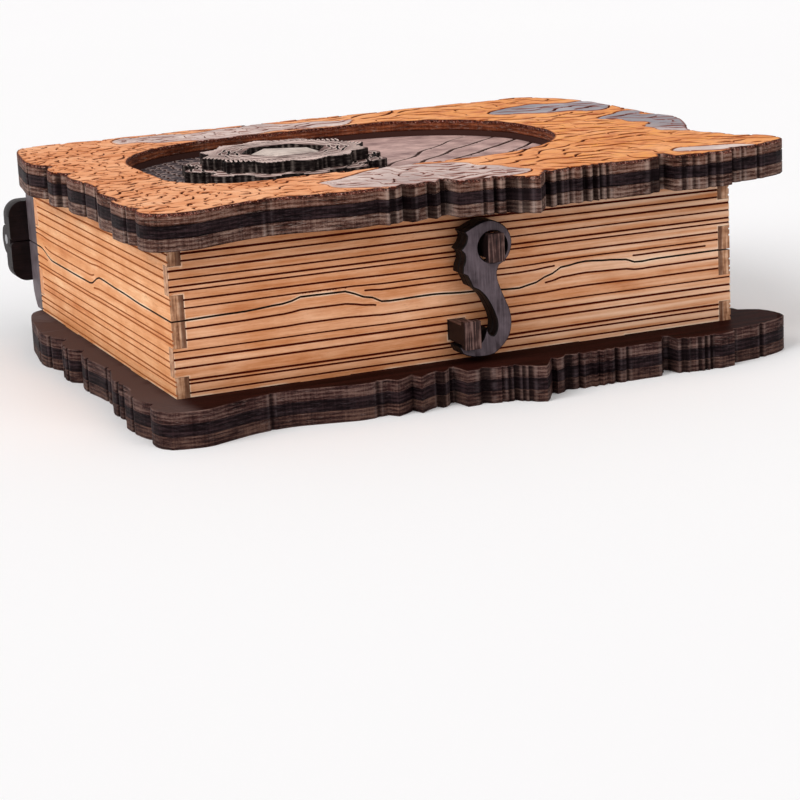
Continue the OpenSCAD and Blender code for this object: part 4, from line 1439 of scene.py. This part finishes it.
# %% [markdown]
# ## Felt linings
#
# Felt is never quite flat: it swells a little between the places where the
# glue holds it. The lining is meshed with a loose grid of points, which a sum
# of slow waves moves by a tenth of a millimetre.


# %% Felt
FELT_STEP = 2.5  # mm


def felt_swell(points):
    """How far the felt lies below its full height."""
    x, y = points.T
    return -0.12 - 0.05 * (np.sin(x / 3.1 + np.sin(y / 7)) + np.sin(y / 2.7))


def lining(node):
    """The felt of a tray, meshed with a slow swell: facing up in the base and down in the lid."""
    low, high = (1000 * np.array(corner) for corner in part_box(node))
    grid = grid_of(*(np.arange(low[i] + 2, high[i] - 1, FELT_STEP) for i in (0, 1)))
    facing = (0, 0, 1) if body_of_node[node] == "base" else (0, 0, -1)
    piece = carved(node, facing, (FELT, FELT), extra=grid, swell=felt_swell, chamfer=0.3)
    "laid" if facing[2] > 0 else "stretched"
    "bottom_cover_inner" if facing[2] > 0 else "top_cover_inner"
    return piece


lining("base_lining")
lining("lid_lining")

# %% [markdown]
# ## The pieces that keep their shape
#
# The spine, hinge, pegs, dividers, back walls and boss are right as they come.
# They only need their sharp corners broken, because a real edge always catches
# a line of light. A Weld joins the points that the frame's file splits, and a
# Bevel then rounds the edges.


# %% Finishes and softened edges for the frame's own pieces
def finish_node(node, finish, rounding):
    """Gives one of the frame's pieces its finish, and rounds its edges over this many mm."""
    piece = nodes[node]
    piece.data.materials.clear()
    piece.data.materials.append(finish)
    weld = piece.modifiers.new("weld", "WELD")
    weld.merge_threshold = 0.00001
    bevel = piece.modifiers.new("rounded_edges", "BEVEL")
    bevel.width, bevel.segments = rounding / 1000, 2
    bevel.limit_method, bevel.angle_limit = "ANGLE", math.radians(40)


for node in ("base_spine", "lid_spine"):
    finish_node(node, SPINE_FACE, 0.4)
for node in ("base_spine_left_end", "base_spine_right_end", "lid_spine_left_end", "lid_spine_right_end"):
    finish_node(node, SPINE_END, 0.3)
for node in ("base_hinge_leaf", "lid_hinge_leaf"):
    finish_node(node, HINGE_FACE, 0.3)
for node in ("catch_peg", "latch_pivot_peg"):
    finish_node(node, PEG, 0.25)
for node in (n for n in nodes if "divider" in n):
    finish_node(node, DIVIDER, 0.2)
for node in ("base_back_wall", "lid_back_wall"):
    finish_node(node, PAGE_FACES[0], 0.15)
finish_node("medallion_boss", BOSS_FACE, 0.35)
finish_node("hinge_pin", STEEL, 0.2)
print("finished", sum(not piece.hide_render for piece in nodes.values()), "of the frame's own pieces")

# %% [markdown]
# ## Size
#
# The size of the dressed chest's visual box is printed, in mm. The dressed chest must
# be no larger than the frame.

# %% Sizes
low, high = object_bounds()
print("visual box", [round(1000 * side, 2) for side in high - low], "mm")
